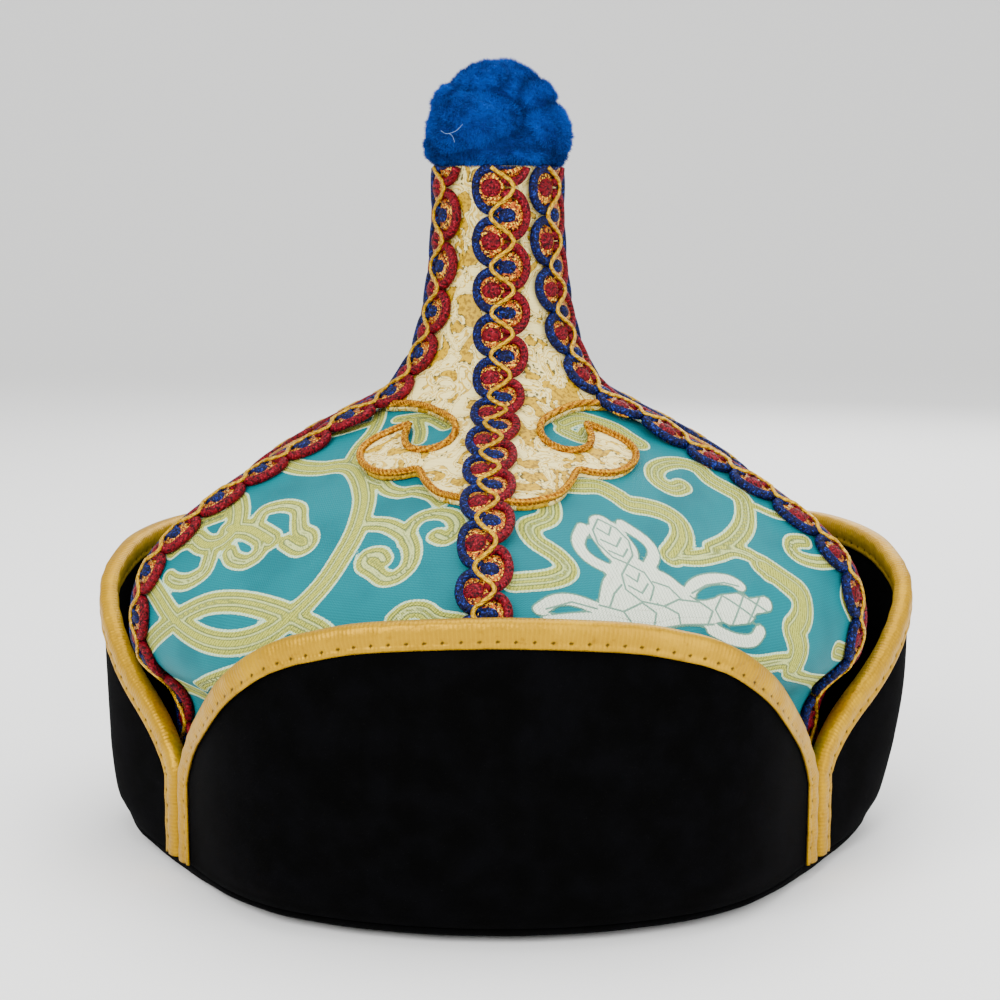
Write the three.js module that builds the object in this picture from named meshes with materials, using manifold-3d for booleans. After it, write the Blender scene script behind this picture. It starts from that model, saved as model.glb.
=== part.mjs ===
// Pointed dance hat: six-gore crown, spire with cloud skirt, cords, gimp braids, turned-up brim and topknot.
// Millimetres, +Z up, front of the hat towards -Y, origin at the middle of the head opening, z = 0 under the hem.
// Bearings are degrees round the hat from the front, growing towards the wearer's left (+X).
import * as THREE from "three";
import Module from "manifold-3d";
import { mergeVertices } from "three/addons/utils/BufferGeometryUtils.js";

const wasm = await Module();
wasm.setup();

// Seam line of a gore, measured on the outer face of its braid: [radius, height], one row per braid repeat.
const SEAM_LINE = [
  [18, 183.6], [18, 170.5], [19, 157], [21, 145], [25, 134], [33, 124], [45, 118], [58, 112], [70, 106],
  [82, 99], [94, 90], [102, 80], [105, 67], [102.5, 54.5], [93.6, 44.4], [91.8, 31.3], [91.8, 18.2], [92, 5],
];
const BRAID_STACK = 3.6; // braid and its bed above the crown cloth
const GORE_HOLLOW = 0.12; // how far a gore's middle falls inside its seams on the dome, share of the radius
const SEAMS_NECK = [3, 56, 118, 180, 240, 297]; // seam bearings at the neck
const SEAMS_DOME = [-2, 67, 123, 180, 237, 293]; // seam bearings on the dome
const SEAM_SPREAD = [2.5, 7]; // repeats between which the seams swing from neck to dome bearings
const GORE_FACETS = 5;
const HOLLOW_ROWS = { opens: [3, 6.5], closes: [9, 13.5] }; // repeats over which the gore's hollow comes and goes

const CLOTH = 1.5; // crown cloth with its backing
const GAP = 0.3; // clearance between neighbouring pieces
const CROWN_TOP = 4.6; // repeat at which the crown ends under the spire
const CROWN_ROWS = [5, 6, 7, 8, 9, 10, 11, 12, 13, 14, 15, 17];

const SKIRT = 1.2; // skirt thickness
const NECK_WALL = 2;
const SPIRE_ROWS = [1.5, 3, 4];
const SKIRT_ROWS = [4.5, 5, 6, 7, 8, 8.8];
// Half of one cloud, mirrored and repeated three times: [bearing from the cloud's middle, plan radius].
const CLOUD = [
  [0, 73], [5, 71.8], [9, 69.7], [13, 67], [17, 62.2], [20.5, 57.7], [24.5, 58.3], [29.5, 58.6], [35, 57.3],
  [40.6, 54.5], [44, 50.5], [43.5, 46], [40, 41.8], [36.3, 39.5], [35, 41.5], [33, 44.5], [29, 48], [24, 49.6],
  [19, 49.2], [15.5, 46.5], [15, 42], [18.5, 37.5], [26, 34.3], [36, 32.3], [47, 32.3], [60, 34.6],
];
const CLOUD_COUNT = 3;
const CORD_RADIUS = 1.05;
const CORD_SIDES = 5;
const CORD_STATIONS = 19;

const BRAID_HALF = 6.7; // mean half width of a braid
const BRAID_LOBE = 0.8; // how far a scallop swells beyond it
const BRAID_THICK = 2.6;
const BRAID_START = 0.02; // repeats from the top of the seam line
const BRAID_END = 15.2;
const BRAID_STEP = 0.25;
const SKIRT_UNDER = [9.2, 6.2, 9.2, 6.2, 9.2, 6.2]; // repeat up to which each braid still lies on the skirt
const BRAID_STEP_DOWN = 0.8; // repeats over which it then settles on the crown

// Brim flap: outer radius by height at its middle, [height, radius].
const FLAP_PROFILE = [
  [4.4, 104], [10, 107.6], [16, 109.2], [24, 110.6], [38, 112], [52, 112.6], [66, 112.4], [80, 111.4],
];
// Upper edge of a flap with its binding: [bearing from the flap's middle, height].
const FLAP_EDGE = [
  [0, 80.5], [9, 79.8], [18, 78], [26, 74.2], [30, 70.8], [34, 66], [38, 60.7], [42, 54.7], [46, 49.3],
  [50, 44.6], [54, 39.2], [57, 33.6], [58.9, 28.5],
];
const NOTCH_BEARING = 60; // bearing from a flap's middle at which it meets its neighbour
// Each flap's turn round the hat, and how far its upper part is pushed out of round.
const FLAPS = {
  front: { turn: 0, swell: 0 },
  left: { turn: 2 * NOTCH_BEARING, swell: 2.3 },
  right: { turn: -2 * NOTCH_BEARING, swell: -2.3 },
};
const SWELL_ROWS = [0, 45]; // heights between which the push grows
const FLAP_NOTCH_RADIUS = 95.9; // outer radius where two flaps meet
const FLAP_TUCK_FROM = 27.5; // bearing at which the flap starts to draw in towards the notch
const FLAP_WALL = 2.6;
const FLAP_FOOT = 4.4;
const FLAP_RELIEF = 0.6; // how far the velvet is trimmed back from its folded binding
const FLAP_COLUMNS = 12;
const FLAP_COLUMN_CROWDING = 0.8; // below 1 the columns crowd towards the flap's ends
const FLAP_ROWS = 3;
const BINDING_WIDTH = 5.6;
const BINDING_THICK = 0.9;
const BINDING_STATIONS = 22;
const BINDING_SIDE_STEP = 6; // spacing of path points up a flap's upright ends

// Hem band: flat foot ring inside HEM_FLAT, then [share of the way out, height] up to the flaps.
const HEM_INSIDE = 87.6;
const HEM_EDGE = 0.6;
const HEM_FLAT = 93;
const HEM_TOP = 4.1;
const HEM_ROLL = [[0.45, 0.7], [0.8, 2], [1, HEM_TOP]];
const HEM_TUCK = 0.4; // how far the band stays inside the flaps' outer face
const HEM_SIDES = 36;

// Lobes of the plush topknot: centre, half axes and turn about y.
const KNOT_LOBES = [
  { at: [-3, -6, 192.5], size: [13.5, 13, 10.5], turn: 0 },
  { at: [11.5, -1, 191.5], size: [9.3, 14, 10.5], turn: 20 },
  { at: [-13.2, 0.5, 190.5], size: [7.2, 12, 8.8], turn: 8 },
  { at: [-6.5, 3, 200], size: [11, 11, 8.5], turn: -24 },
  { at: [3, 0, 203], size: [13.5, 11, 9.4], turn: 18 },
  { at: [0, 9.5, 192.5], size: [16, 9, 10.5], turn: 0 },
];
const KNOT_FOOT = { radius: 18.2, low: 184.1, high: 189, sides: 18 };
const KNOT_SIDES = 10;
const KNOT_ROWS = 6;

const rad = THREE.MathUtils.degToRad;
const lerp = THREE.MathUtils.lerp;
const smooth = (x, a, b) => THREE.MathUtils.smoothstep(x, a, b);

// Linear reading of a two-column table sorted by its first column.
function readTable(table, x) {
  let i = 1;
  while (i < table.length - 1 && table[i][0] < x) i++;
  const [[x0, y0], [x1, y1]] = [table[i - 1], table[i]];
  return lerp(y0, y1, THREE.MathUtils.clamp((x - x0) / (x1 - x0), 0, 1));
}

// Smooth seam line through the table's rows, with its outward normal.
function seamAt(t) {
  const i = THREE.MathUtils.clamp(Math.floor(t), 0, SEAM_LINE.length - 2);
  const u = t - i;
  const row = (j) => SEAM_LINE[THREE.MathUtils.clamp(j, 0, SEAM_LINE.length - 1)];
  const [a, b, c, d] = [row(i - 1), row(i), row(i + 1), row(i + 2)];
  return [0, 1].map((k) => 0.5 * (2 * b[k] + (c[k] - a[k]) * u + (2 * a[k] - 5 * b[k] + 4 * c[k] - d[k]) * u * u
    + (3 * b[k] - a[k] - 3 * c[k] + d[k]) * u ** 3));
}

// Rows at which every layer has its corners, so that stacked layers never cross.
const LEVELS = [...new Set([0, ...SPIRE_ROWS, CROWN_TOP, ...SKIRT_ROWS, ...CROWN_ROWS])].sort((a, b) => a - b);
const LEVEL_POINTS = LEVELS.map((t) => {
  const step = 0.02;
  const [low, high] = [seamAt(t - step), seamAt(t + step)];
  const normal = new THREE.Vector2(low[1] - high[1], high[0] - low[0]).normalize();
  return { point: seamAt(t), normal };
});

// Seam radius and height at repeat t, lifted by offset above the crown cloth.
function layer(t, offset) {
  let i = 1;
  while (i < LEVELS.length - 1 && LEVELS[i] < t) i++;
  const u = THREE.MathUtils.clamp((t - LEVELS[i - 1]) / (LEVELS[i] - LEVELS[i - 1]), 0, 1);
  const [r, z] = [0, 1].map((k) => {
    const lift = (e) => e.point[k] + (offset - BRAID_STACK) * e.normal.getComponent(k);
    return lerp(lift(LEVEL_POINTS[i - 1]), lift(LEVEL_POINTS[i]), u);
  });
  return { r, z };
}

function seamBearing(k, t) {
  const turn = Math.floor(k / 6) * 360;
  const i = ((k % 6) + 6) % 6;
  return turn + lerp(SEAMS_NECK[i], SEAMS_DOME[i], smooth(t, ...SEAM_SPREAD));
}

const around = (bearing, r, z) => new THREE.Vector3(r * Math.sin(rad(bearing)), -r * Math.cos(rad(bearing)), z);

// Share of the seam's radius that the gore keeps between its seams.
function goreRadiusShare(g, t) {
  const u = g - Math.floor(g);
  const depth = GORE_HOLLOW * smooth(t, ...HOLLOW_ROWS.opens) * (1 - smooth(t, ...HOLLOW_ROWS.closes));
  return 1 - depth * 4 * u * (1 - u);
}

// Point of the gore surface: g counts gores round the hat, t repeats down the seam.
function gorePoint(g, t, offset) {
  const k = Math.floor(g);
  const bearing = lerp(seamBearing(k, t), seamBearing(k + 1, t), g - k);
  const { r, z } = layer(t, offset);
  return around(bearing, r * goreRadiusShare(g, t), z);
}

// Triangle mesh built from closed rings of equal length joined in order.
class Builder {
  constructor() {
    this.positions = [];
    this.index = [];
  }
  ring(points) {
    const first = this.positions.length / 3;
    for (const p of points) this.positions.push(p.x, p.y, p.z);
    return { first, count: points.length };
  }
  join(a, b) {
    for (let i = 0; i < a.count; i++) {
      const j = (i + 1) % a.count;
      this.index.push(a.first + i, a.first + j, b.first + j, a.first + i, b.first + j, b.first + i);
    }
  }
  fan(ring, flip) {
    for (let i = 1; i < ring.count - 1; i++) {
      const [p, q] = flip ? [i + 1, i] : [i, i + 1];
      this.index.push(ring.first, ring.first + p, ring.first + q);
    }
  }
  quad(ring, corners, flip) {
    const [a, b, c, d] = (flip ? [...corners].reverse() : corners).map((v) => ring.first + v);
    this.index.push(a, b, c, a, c, d);
  }
  strip(ring, flip) {
    const half = ring.count / 2;
    for (let j = 0; j < half - 1; j++) this.quad(ring, [j, j + 1, ring.count - 2 - j, ring.count - 1 - j], flip);
  }
  geometry() {
    const geometry = new THREE.BufferGeometry();
    geometry.setAttribute("position", new THREE.Float32BufferAttribute(this.positions, 3));
    geometry.setIndex(this.index);
    return outward(geometry);
  }
}

// Turns the triangles over when the enclosed volume comes out negative.
function outward(geometry) {
  const { array } = geometry.attributes.position;
  const index = geometry.index.array;
  const corner = (i) => new THREE.Vector3().fromArray(array, 3 * index[i]);
  let volume = 0;
  for (let i = 0; i < index.length; i += 3) volume += corner(i).dot(corner(i + 1).cross(corner(i + 2)));
  if (volume < 0) {
    for (let i = 0; i < index.length; i += 3) [index[i + 1], index[i + 2]] = [index[i + 2], index[i + 1]];
  }
  geometry.computeVertexNormals();
  return geometry;
}

function toManifold(geometry) {
  const bare = geometry.clone();
  bare.deleteAttribute("normal");
  bare.deleteAttribute("uv");
  const merged = mergeVertices(bare, 1e-4);
  return new wasm.Manifold(new wasm.Mesh({
    numProp: 3,
    vertProperties: new Float32Array(merged.attributes.position.array),
    triVerts: new Uint32Array(merged.index.array),
  }));
}

function fromManifold(solid) {
  const mesh = solid.getMesh();
  const geometry = new THREE.BufferGeometry();
  geometry.setAttribute("position", new THREE.Float32BufferAttribute(mesh.vertProperties, 3));
  geometry.setIndex([...mesh.triVerts]);
  geometry.computeVertexNormals();
  return geometry;
}

const GORE_STEPS = Array.from({ length: 6 * GORE_FACETS }, (_, i) => i / GORE_FACETS);
const goreRing = (t, offset) => GORE_STEPS.map((g) => gorePoint(g, t, offset));

function crownGeometry() {
  const build = new Builder();
  const rows = [CROWN_TOP, ...CROWN_ROWS];
  const outer = rows.map((t) => build.ring(goreRing(t, 0)));
  const inner = rows.map((t) => build.ring(goreRing(t, -CLOTH)));
  const loop = [...outer, ...inner.reverse()];
  loop.forEach((ring, i) => build.join(ring, loop[(i + 1) % loop.length]));
  return build.geometry();
}

function cloudOutline() {
  const half = CLOUD.slice(1);
  const points = [];
  for (let c = 0; c < CLOUD_COUNT; c++) {
    const turn = (c * 360) / CLOUD_COUNT;
    for (const [a, r] of [...half].reverse().slice(1)) points.push([turn - a, r]);
    points.push([turn, CLOUD[0][1]]);
    for (const [a, r] of half) points.push([turn + a, r]);
  }
  return points.map(([a, r]) => new THREE.Vector2(r * Math.sin(rad(a)), -r * Math.cos(rad(a))));
}

function spireGeometry() {
  const build = new Builder();
  const top = layer(0, GAP + SKIRT);
  const inside = -NECK_WALL + GAP + SKIRT;
  const outerRows = [0, ...SPIRE_ROWS, ...SKIRT_ROWS];
  const outer = outerRows.map((t) => build.ring(goreRing(t, GAP + SKIRT)));
  const neck = SPIRE_ROWS.map((t) => build.ring(goreRing(t, inside)));
  const lid = build.ring(goreRing(0, inside).map((p) => p.setZ(top.z - NECK_WALL)));
  const skirt = SKIRT_ROWS.map((t) => build.ring(goreRing(t, GAP)));
  const path = [...outer, ...skirt.reverse(), ...neck.reverse(), lid];
  path.slice(1).forEach((ring, i) => build.join(path[i], ring));
  build.fan(outer[0], true);
  build.fan(lid, false);
  const shell = toManifold(build.geometry());
  const plan = new THREE.Shape(cloudOutline());
  const prism = new THREE.ExtrudeGeometry(plan, { depth: top.z * 2, bevelEnabled: false });
  return fromManifold(shell.intersect(toManifold(prism)));
}

// Repeat at which the gore surface, lifted by offset, reaches a plan radius on the given gore position.
function repeatAtRadius(g, radius, offset) {
  let [low, high] = [2, 12];
  for (let i = 0; i < 30; i++) {
    const t = (low + high) / 2;
    if (layer(t, offset).r * goreRadiusShare(g, t) < radius) low = t;
    else high = t;
  }
  return low;
}
function surfaceAt(bearing, radius, offset) {
  let t = 6;
  let g = 0;
  for (let i = 0; i < 12; i++) {
    let k = -4;
    while (seamBearing(k + 1, t) <= bearing) k++;
    g = k + (bearing - seamBearing(k, t)) / (seamBearing(k + 1, t) - seamBearing(k, t));
    t = repeatAtRadius(g, radius, offset);
  }
  return { point: gorePoint(g, t, offset), g, t };
}

// Round cord laid along one side of a cloud, from the braid on its middle seam to the braid on its end seam.
function cordGeometry(cloud, side) {
  const lift = GAP + SKIRT + GAP + CORD_RADIUS;
  const turn = (cloud * 360) / CLOUD_COUNT;
  const clear = BRAID_HALF + BRAID_LOBE + GAP + CORD_RADIUS;
  const path = [];
  for (const [a, r] of CLOUD) {
    const spot = surfaceAt(turn + side * a, r, lift);
    const seam = rad(seamBearing(Math.round(spot.g), spot.t));
    const sideways = Math.abs(spot.point.x * Math.cos(seam) + spot.point.y * Math.sin(seam));
    if (sideways > clear) path.push(spot.point);
  }
  const curve = new THREE.CatmullRomCurve3(path, false, "centripetal");
  const build = new Builder();
  const rings = [];
  for (let i = 0; i < CORD_STATIONS; i++) {
    const u = i / (CORD_STATIONS - 1);
    const at = curve.getPointAt(u);
    const along = curve.getTangentAt(u);
    const out = new THREE.Vector3(0, 0, 1).addScaledVector(along, -along.z).normalize();
    const across = new THREE.Vector3().crossVectors(along, out);
    rings.push(build.ring(Array.from({ length: CORD_SIDES }, (_, s) => {
      const angle = (s / CORD_SIDES) * 2 * Math.PI;
      return at.clone().addScaledVector(out, CORD_RADIUS * Math.cos(angle))
        .addScaledVector(across, CORD_RADIUS * Math.sin(angle));
    })));
  }
  rings.slice(1).forEach((ring, i) => build.join(rings[i], ring));
  build.fan(rings[0], true);
  build.fan(rings.at(-1), false);
  return build.geometry();
}

// Scalloped strip lying on one seam; its two edges swell in turn, half a repeat apart.
function braidGeometry(k) {
  const build = new Builder();
  const rings = [];
  const count = Math.round((BRAID_END - BRAID_START) / BRAID_STEP);
  for (let i = 0; i <= count; i++) {
    const t = BRAID_START + i * BRAID_STEP;
    const bed = lerp(GAP + SKIRT + GAP, GAP, smooth(t, SKIRT_UNDER[k], SKIRT_UNDER[k] + BRAID_STEP_DOWN));
    const bearing = seamBearing(k, t);
    const sideways = new THREE.Vector3(Math.cos(rad(bearing)), Math.sin(rad(bearing)), 0);
    const swell = -BRAID_LOBE * Math.cos(2 * Math.PI * t);
    const [low, high] = [bed, bed + BRAID_THICK].map((offset) => {
      const { r, z } = layer(t, offset);
      return around(bearing, r, z);
    });
    const corner = (p, w) => p.clone().addScaledVector(sideways, w);
    rings.push(build.ring([
      corner(low, -BRAID_HALF - swell), corner(low, BRAID_HALF - swell),
      corner(high, BRAID_HALF - swell), corner(high, -BRAID_HALF - swell),
    ]));
  }
  rings.slice(1).forEach((ring, i) => build.join(rings[i], ring));
  build.fan(rings[0], true);
  build.fan(rings.at(-1), false);
  return build.geometry();
}

// Outer face of a flap: bearing from its middle, height above the floor.
function flapRadius(flap, a, z) {
  const middle = readTable(FLAP_PROFILE, z) + flap.swell * smooth(z, ...SWELL_ROWS);
  return lerp(middle, FLAP_NOTCH_RADIUS, smooth(Math.abs(a), FLAP_TUCK_FROM, NOTCH_BEARING));
}
function flapPoint(flap, a, z, depth) {
  const step = 0.5;
  const at = (b, h) => around(flap.turn + b, flapRadius(flap, b, h), h);
  const point = at(a, z);
  const across = at(a + step, z).sub(at(a - step, z));
  const up = at(a, z + step).sub(at(a, z - step));
  const normal = new THREE.Vector3().crossVectors(across, up).normalize();
  return { point: point.clone().addScaledVector(normal, -depth), normal };
}
const EDGE_MARGIN = BINDING_THICK + GAP;
const FLAP_REACH = FLAP_EDGE.at(-1)[0];
const velvetTop = (a) => readTable(FLAP_EDGE, Math.abs(a)) - EDGE_MARGIN;

function flapGeometry(flap) {
  const build = new Builder();
  const columns = Array.from({ length: FLAP_COLUMNS + 1 }, (_, i) => {
    const s = (2 * i) / FLAP_COLUMNS - 1;
    const a = FLAP_REACH * Math.sign(s) * Math.abs(s) ** FLAP_COLUMN_CROWDING;
    const face = (depth) => Array.from({ length: FLAP_ROWS + 1 }, (_, j) => {
      const z = lerp(FLAP_FOOT, velvetTop(a), j / FLAP_ROWS);
      return flapPoint(flap, a, z, depth).point.setZ(z);
    });
    return build.ring([...face(0), ...face(FLAP_WALL).reverse()]);
  });
  columns.slice(1).forEach((ring, i) => build.join(columns[i], ring));
  build.strip(columns[0], true);
  build.strip(columns.at(-1), false);
  const cut = toManifold(build.geometry()).subtract(toManifold(channelGeometry(flap, FLAP_RELIEF)));
  const bodies = cut.decompose().sort((a, b) => b.volume() - a.volume());
  return fromManifold(bodies[0]);
}

// Folded binding: a channel run along the flap's free edge from foot to foot, its walls swollen by grow.
function channelGeometry(flap, grow) {
  const free = [];
  const sideTop = velvetTop(FLAP_REACH) - BINDING_SIDE_STEP / 2;
  for (let z = FLAP_FOOT - grow; z < sideTop; z += BINDING_SIDE_STEP) free.push([-FLAP_REACH, z]);
  const sides = [...free].reverse().map(([a, z]) => [-a, z]);
  const across = [...FLAP_EDGE].reverse().map(([a]) => -a).concat(FLAP_EDGE.slice(1).map(([a]) => a));
  free.push(...across.map((a) => [a, velvetTop(a)]), ...sides);
  const mid = FLAP_WALL / 2;
  const curve = new THREE.CatmullRomCurve3(free.map(([a, z]) => new THREE.Vector3(a, z, 0)), false, "centripetal");
  const build = new Builder();
  const rings = [];
  for (let i = 0; i <= BINDING_STATIONS; i++) {
    const step = 0.004;
    const u = i / BINDING_STATIONS;
    const spot = (v) => {
      const p = curve.getPointAt(THREE.MathUtils.clamp(v, 0, 1));
      return flapPoint(flap, p.x, p.y, mid);
    };
    const { point, normal } = spot(u);
    const along = spot(u + step).point.sub(spot(u - step).point).normalize();
    const out = new THREE.Vector3().crossVectors(normal, along).normalize();
    const near = mid + GAP - grow;
    const far = mid + GAP + BINDING_THICK + grow;
    const depth = -BINDING_WIDTH - grow;
    const section = [
      [depth, near], [GAP - grow, near], [GAP - grow, -near], [depth, -near],
      [depth, -far], [EDGE_MARGIN + grow, -far], [EDGE_MARGIN + grow, far], [depth, far],
    ];
    rings.push(build.ring(section.map(([o, n]) => point.clone().addScaledVector(out, o).addScaledVector(normal, n))));
  }
  rings.slice(1).forEach((ring, i) => build.join(rings[i], ring));
  const cap = (ring, flip) => {
    for (const quad of [[0, 1, 6, 7], [1, 2, 5, 6], [2, 3, 4, 5]]) build.quad(ring, quad, flip);
  };
  cap(rings[0], true);
  cap(rings.at(-1), false);
  return build.geometry();
}

// Hem band run round the head opening, its outer edge following the feet of the flaps.
function hemGeometry() {
  const build = new Builder();
  const rings = Array.from({ length: HEM_SIDES }, (_, i) => {
    const bearing = (i * 360) / HEM_SIDES;
    const fromFlap = ((bearing + NOTCH_BEARING) % (2 * NOTCH_BEARING)) - NOTCH_BEARING;
    const reach = flapRadius(FLAPS.front, fromFlap, FLAP_FOOT) - HEM_TUCK;
    const roll = HEM_ROLL.map(([share, z]) => [lerp(HEM_FLAT, reach, share), z]);
    const foot = [[HEM_INSIDE, HEM_EDGE], [HEM_INSIDE + HEM_EDGE, 0], [HEM_FLAT, 0]];
    return build.ring([...foot, ...roll, [HEM_INSIDE, HEM_TOP]].map(([r, z]) => around(bearing, r, z)));
  });
  rings.forEach((ring, i) => build.join(ring, rings[(i + 1) % rings.length]));
  return build.geometry();
}

function knotGeometry() {
  const { radius, low, high, sides } = KNOT_FOOT;
  const foot = new THREE.CylinderGeometry(radius, radius, high - low, sides);
  foot.rotateX(Math.PI / 2);
  foot.translate(0, 0, (high + low) / 2);
  let solid = toManifold(foot);
  for (const { at, size, turn } of KNOT_LOBES) {
    const lobe = new THREE.SphereGeometry(1, KNOT_SIDES, KNOT_ROWS);
    lobe.rotateX(Math.PI / 2);
    lobe.scale(...size);
    lobe.rotateY(rad(turn));
    lobe.translate(...at);
    solid = solid.add(toManifold(lobe));
  }
  return fromManifold(solid.trimByPlane([0, 0, 1], low));
}

const hat = new THREE.Group();
hat.name = "pointed_dance_hat";
function piece(name, geometry, color, roughness, metalness = 0) {
  const mesh = new THREE.Mesh(geometry, new THREE.MeshStandardMaterial({ color, roughness, metalness }));
  mesh.name = name;
  hat.add(mesh);
}

piece("crown", crownGeometry(), 0x1b99a5, 0.5);
piece("spire", spireGeometry(), 0xefe0b0, 0.5);
for (let c = 0; c < CLOUD_COUNT; c++) {
  piece(`cloud_cord_${2 * c + 1}`, cordGeometry(c, 1), 0xd88a20, 0.5);
  piece(`cloud_cord_${2 * c + 2}`, cordGeometry(c + 1, -1), 0xd88a20, 0.5);
}
for (let k = 0; k < SEAMS_DOME.length; k++) piece(`braid_${k + 1}`, braidGeometry(k), 0xa0122b, 0.6);
for (const [side, flap] of Object.entries(FLAPS)) {
  piece(`brim_flap_${side}`, flapGeometry(flap), 0x0a0a0c, 0.9);
  piece(`flap_binding_${side}`, channelGeometry(flap, 0), 0xdfa72e, 0.4);
}
piece("hem_band", hemGeometry(), 0x0c0c0e, 0.8);
piece("topknot", knotGeometry(), 0x0b4fa8, 0.9);

export default hat;
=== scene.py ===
import math
from functools import partial

import bmesh
import bpy
import numpy as np
from bpy.props import FloatProperty, FloatVectorProperty, IntProperty, PointerProperty
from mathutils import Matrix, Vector


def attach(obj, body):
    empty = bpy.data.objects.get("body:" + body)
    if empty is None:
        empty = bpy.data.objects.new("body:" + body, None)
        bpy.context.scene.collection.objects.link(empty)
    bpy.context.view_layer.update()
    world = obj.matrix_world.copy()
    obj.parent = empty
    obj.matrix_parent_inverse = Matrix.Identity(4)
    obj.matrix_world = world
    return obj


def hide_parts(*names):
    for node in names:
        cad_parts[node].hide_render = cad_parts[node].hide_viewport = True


bl_info = {
    "name": "Pointed Dance Hat",
    "version": (1, 0, 0),
    "blender": (4, 5, 0),
    "location": "View3D > Sidebar > Dance Hat",
    "description": "Dresses a six-gore dance hat in brocade, velvet, gimp braid, cord and plush",
    "category": "Object",
}

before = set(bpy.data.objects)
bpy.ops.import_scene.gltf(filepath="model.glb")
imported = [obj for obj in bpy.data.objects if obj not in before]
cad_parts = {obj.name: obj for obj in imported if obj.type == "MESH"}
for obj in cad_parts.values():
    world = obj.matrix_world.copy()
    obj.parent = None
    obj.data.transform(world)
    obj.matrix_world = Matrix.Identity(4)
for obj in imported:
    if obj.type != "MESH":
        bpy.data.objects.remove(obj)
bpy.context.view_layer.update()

# Sizes are millimetres until a mesh is made; the front of the hat faces -Y, and z = 0 is under the hem.
MM = 0.001
# Bearings are degrees round the hat from the front, growing towards the wearer's left (+X).

# Seam line of a gore on the outer face of its braid: [radius, height], one row per braid repeat.
SEAM_LINE = np.array([
    (18, 183.6), (18, 170.5), (19, 157), (21, 145), (25, 134), (33, 124), (45, 118), (58, 112), (70, 106),
    (82, 99), (94, 90), (102, 80), (105, 67), (102.5, 54.5), (93.6, 44.4), (91.8, 31.3), (91.8, 18.2),
    (92, 5),
])
REPEAT = 13.3  # length of one braid repeat along the seam
BRAID_STACK = 3.6  # braid and its bed above the crown cloth
GORE_HOLLOW = 0.12  # how far a gore's middle falls inside its seams on the dome
# Bearings of the six seams on the neck and on the dome.
SEAMS_NECK = np.array([3.0, 56, 118, 180, 240, 297])
SEAMS_DOME = np.array([-2.0, 67, 123, 180, 237, 293])
GORES = len(SEAMS_DOME)
MEAN_GORE = 64  # width of a gore half way down the dome
CLOTH = 1.5  # thickness of the crown's backed cloth
GAP = 0.3  # air between crown and skirt
SKIRT = 1.2  # thickness of the spire's skirt
NOWHERE = 9.0  # distance in mm given to a point that no stroke or line is near
SKIRT_TOP = GAP + SKIRT

# Half of one cloud of the skirt: [bearing from the cloud's middle, plan radius].
CLOUD = [
    (0, 73), (5, 71.8), (9, 69.7), (13, 67), (17, 62.2), (20.5, 57.7), (24.5, 58.3), (29.5, 58.6),
    (35, 57.3), (40.6, 54.5), (44, 50.5), (43.5, 46), (40, 41.8), (36.3, 39.5), (35, 41.5), (33, 44.5),
    (29, 48), (24, 49.6), (19, 49.2), (15.5, 46.5), (15, 42), (18.5, 37.5), (26, 34.3), (36, 32.3),
    (47, 32.3), (60, 34.6),
]
CLOUD_COUNT = 3

# Brim flap: outer radius by height at its middle, [height, radius], and its bound edge, [bearing, height].
FLAP_PROFILE = np.array([
    (4.4, 104), (10, 107.6), (16, 109.2), (24, 110.6), (38, 112), (52, 112.6), (66, 112.4), (80, 111.4),
])
FLAP_EDGE = np.array([
    (0, 80.5), (9, 79.8), (18, 78), (26, 74.2), (30, 70.8), (34, 66), (38, 60.7), (42, 54.7), (46, 49.3),
    (50, 44.6), (54, 39.2), (57, 33.6), (58.9, 28.5),
])
NOTCH_BEARING = 60  # bearing of the notch between two flaps, from a flap's middle
# Each flap's turn round the hat, and how far its upper part is pushed out of round.
FLAPS = {"front": (0, 0.0), "left": (120, 2.3), "right": (-120, -2.3)}
SWELL_ROWS = (0, 45)  # heights between which that push sets in
FLAP_NOTCH_RADIUS = 95.9  # outer radius of a flap where it meets its neighbour
FLAP_TUCK_FROM = 27.5  # bearing from which it draws in to that
FLAP_WALL = 2.6
FLAP_FOOT = 4.4
EDGE_MARGIN = 1.2  # how far the binding's fold stands over the velvet's edge
HEM_TUCK = 0.4  # how far the hem stays inside the flaps

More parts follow.
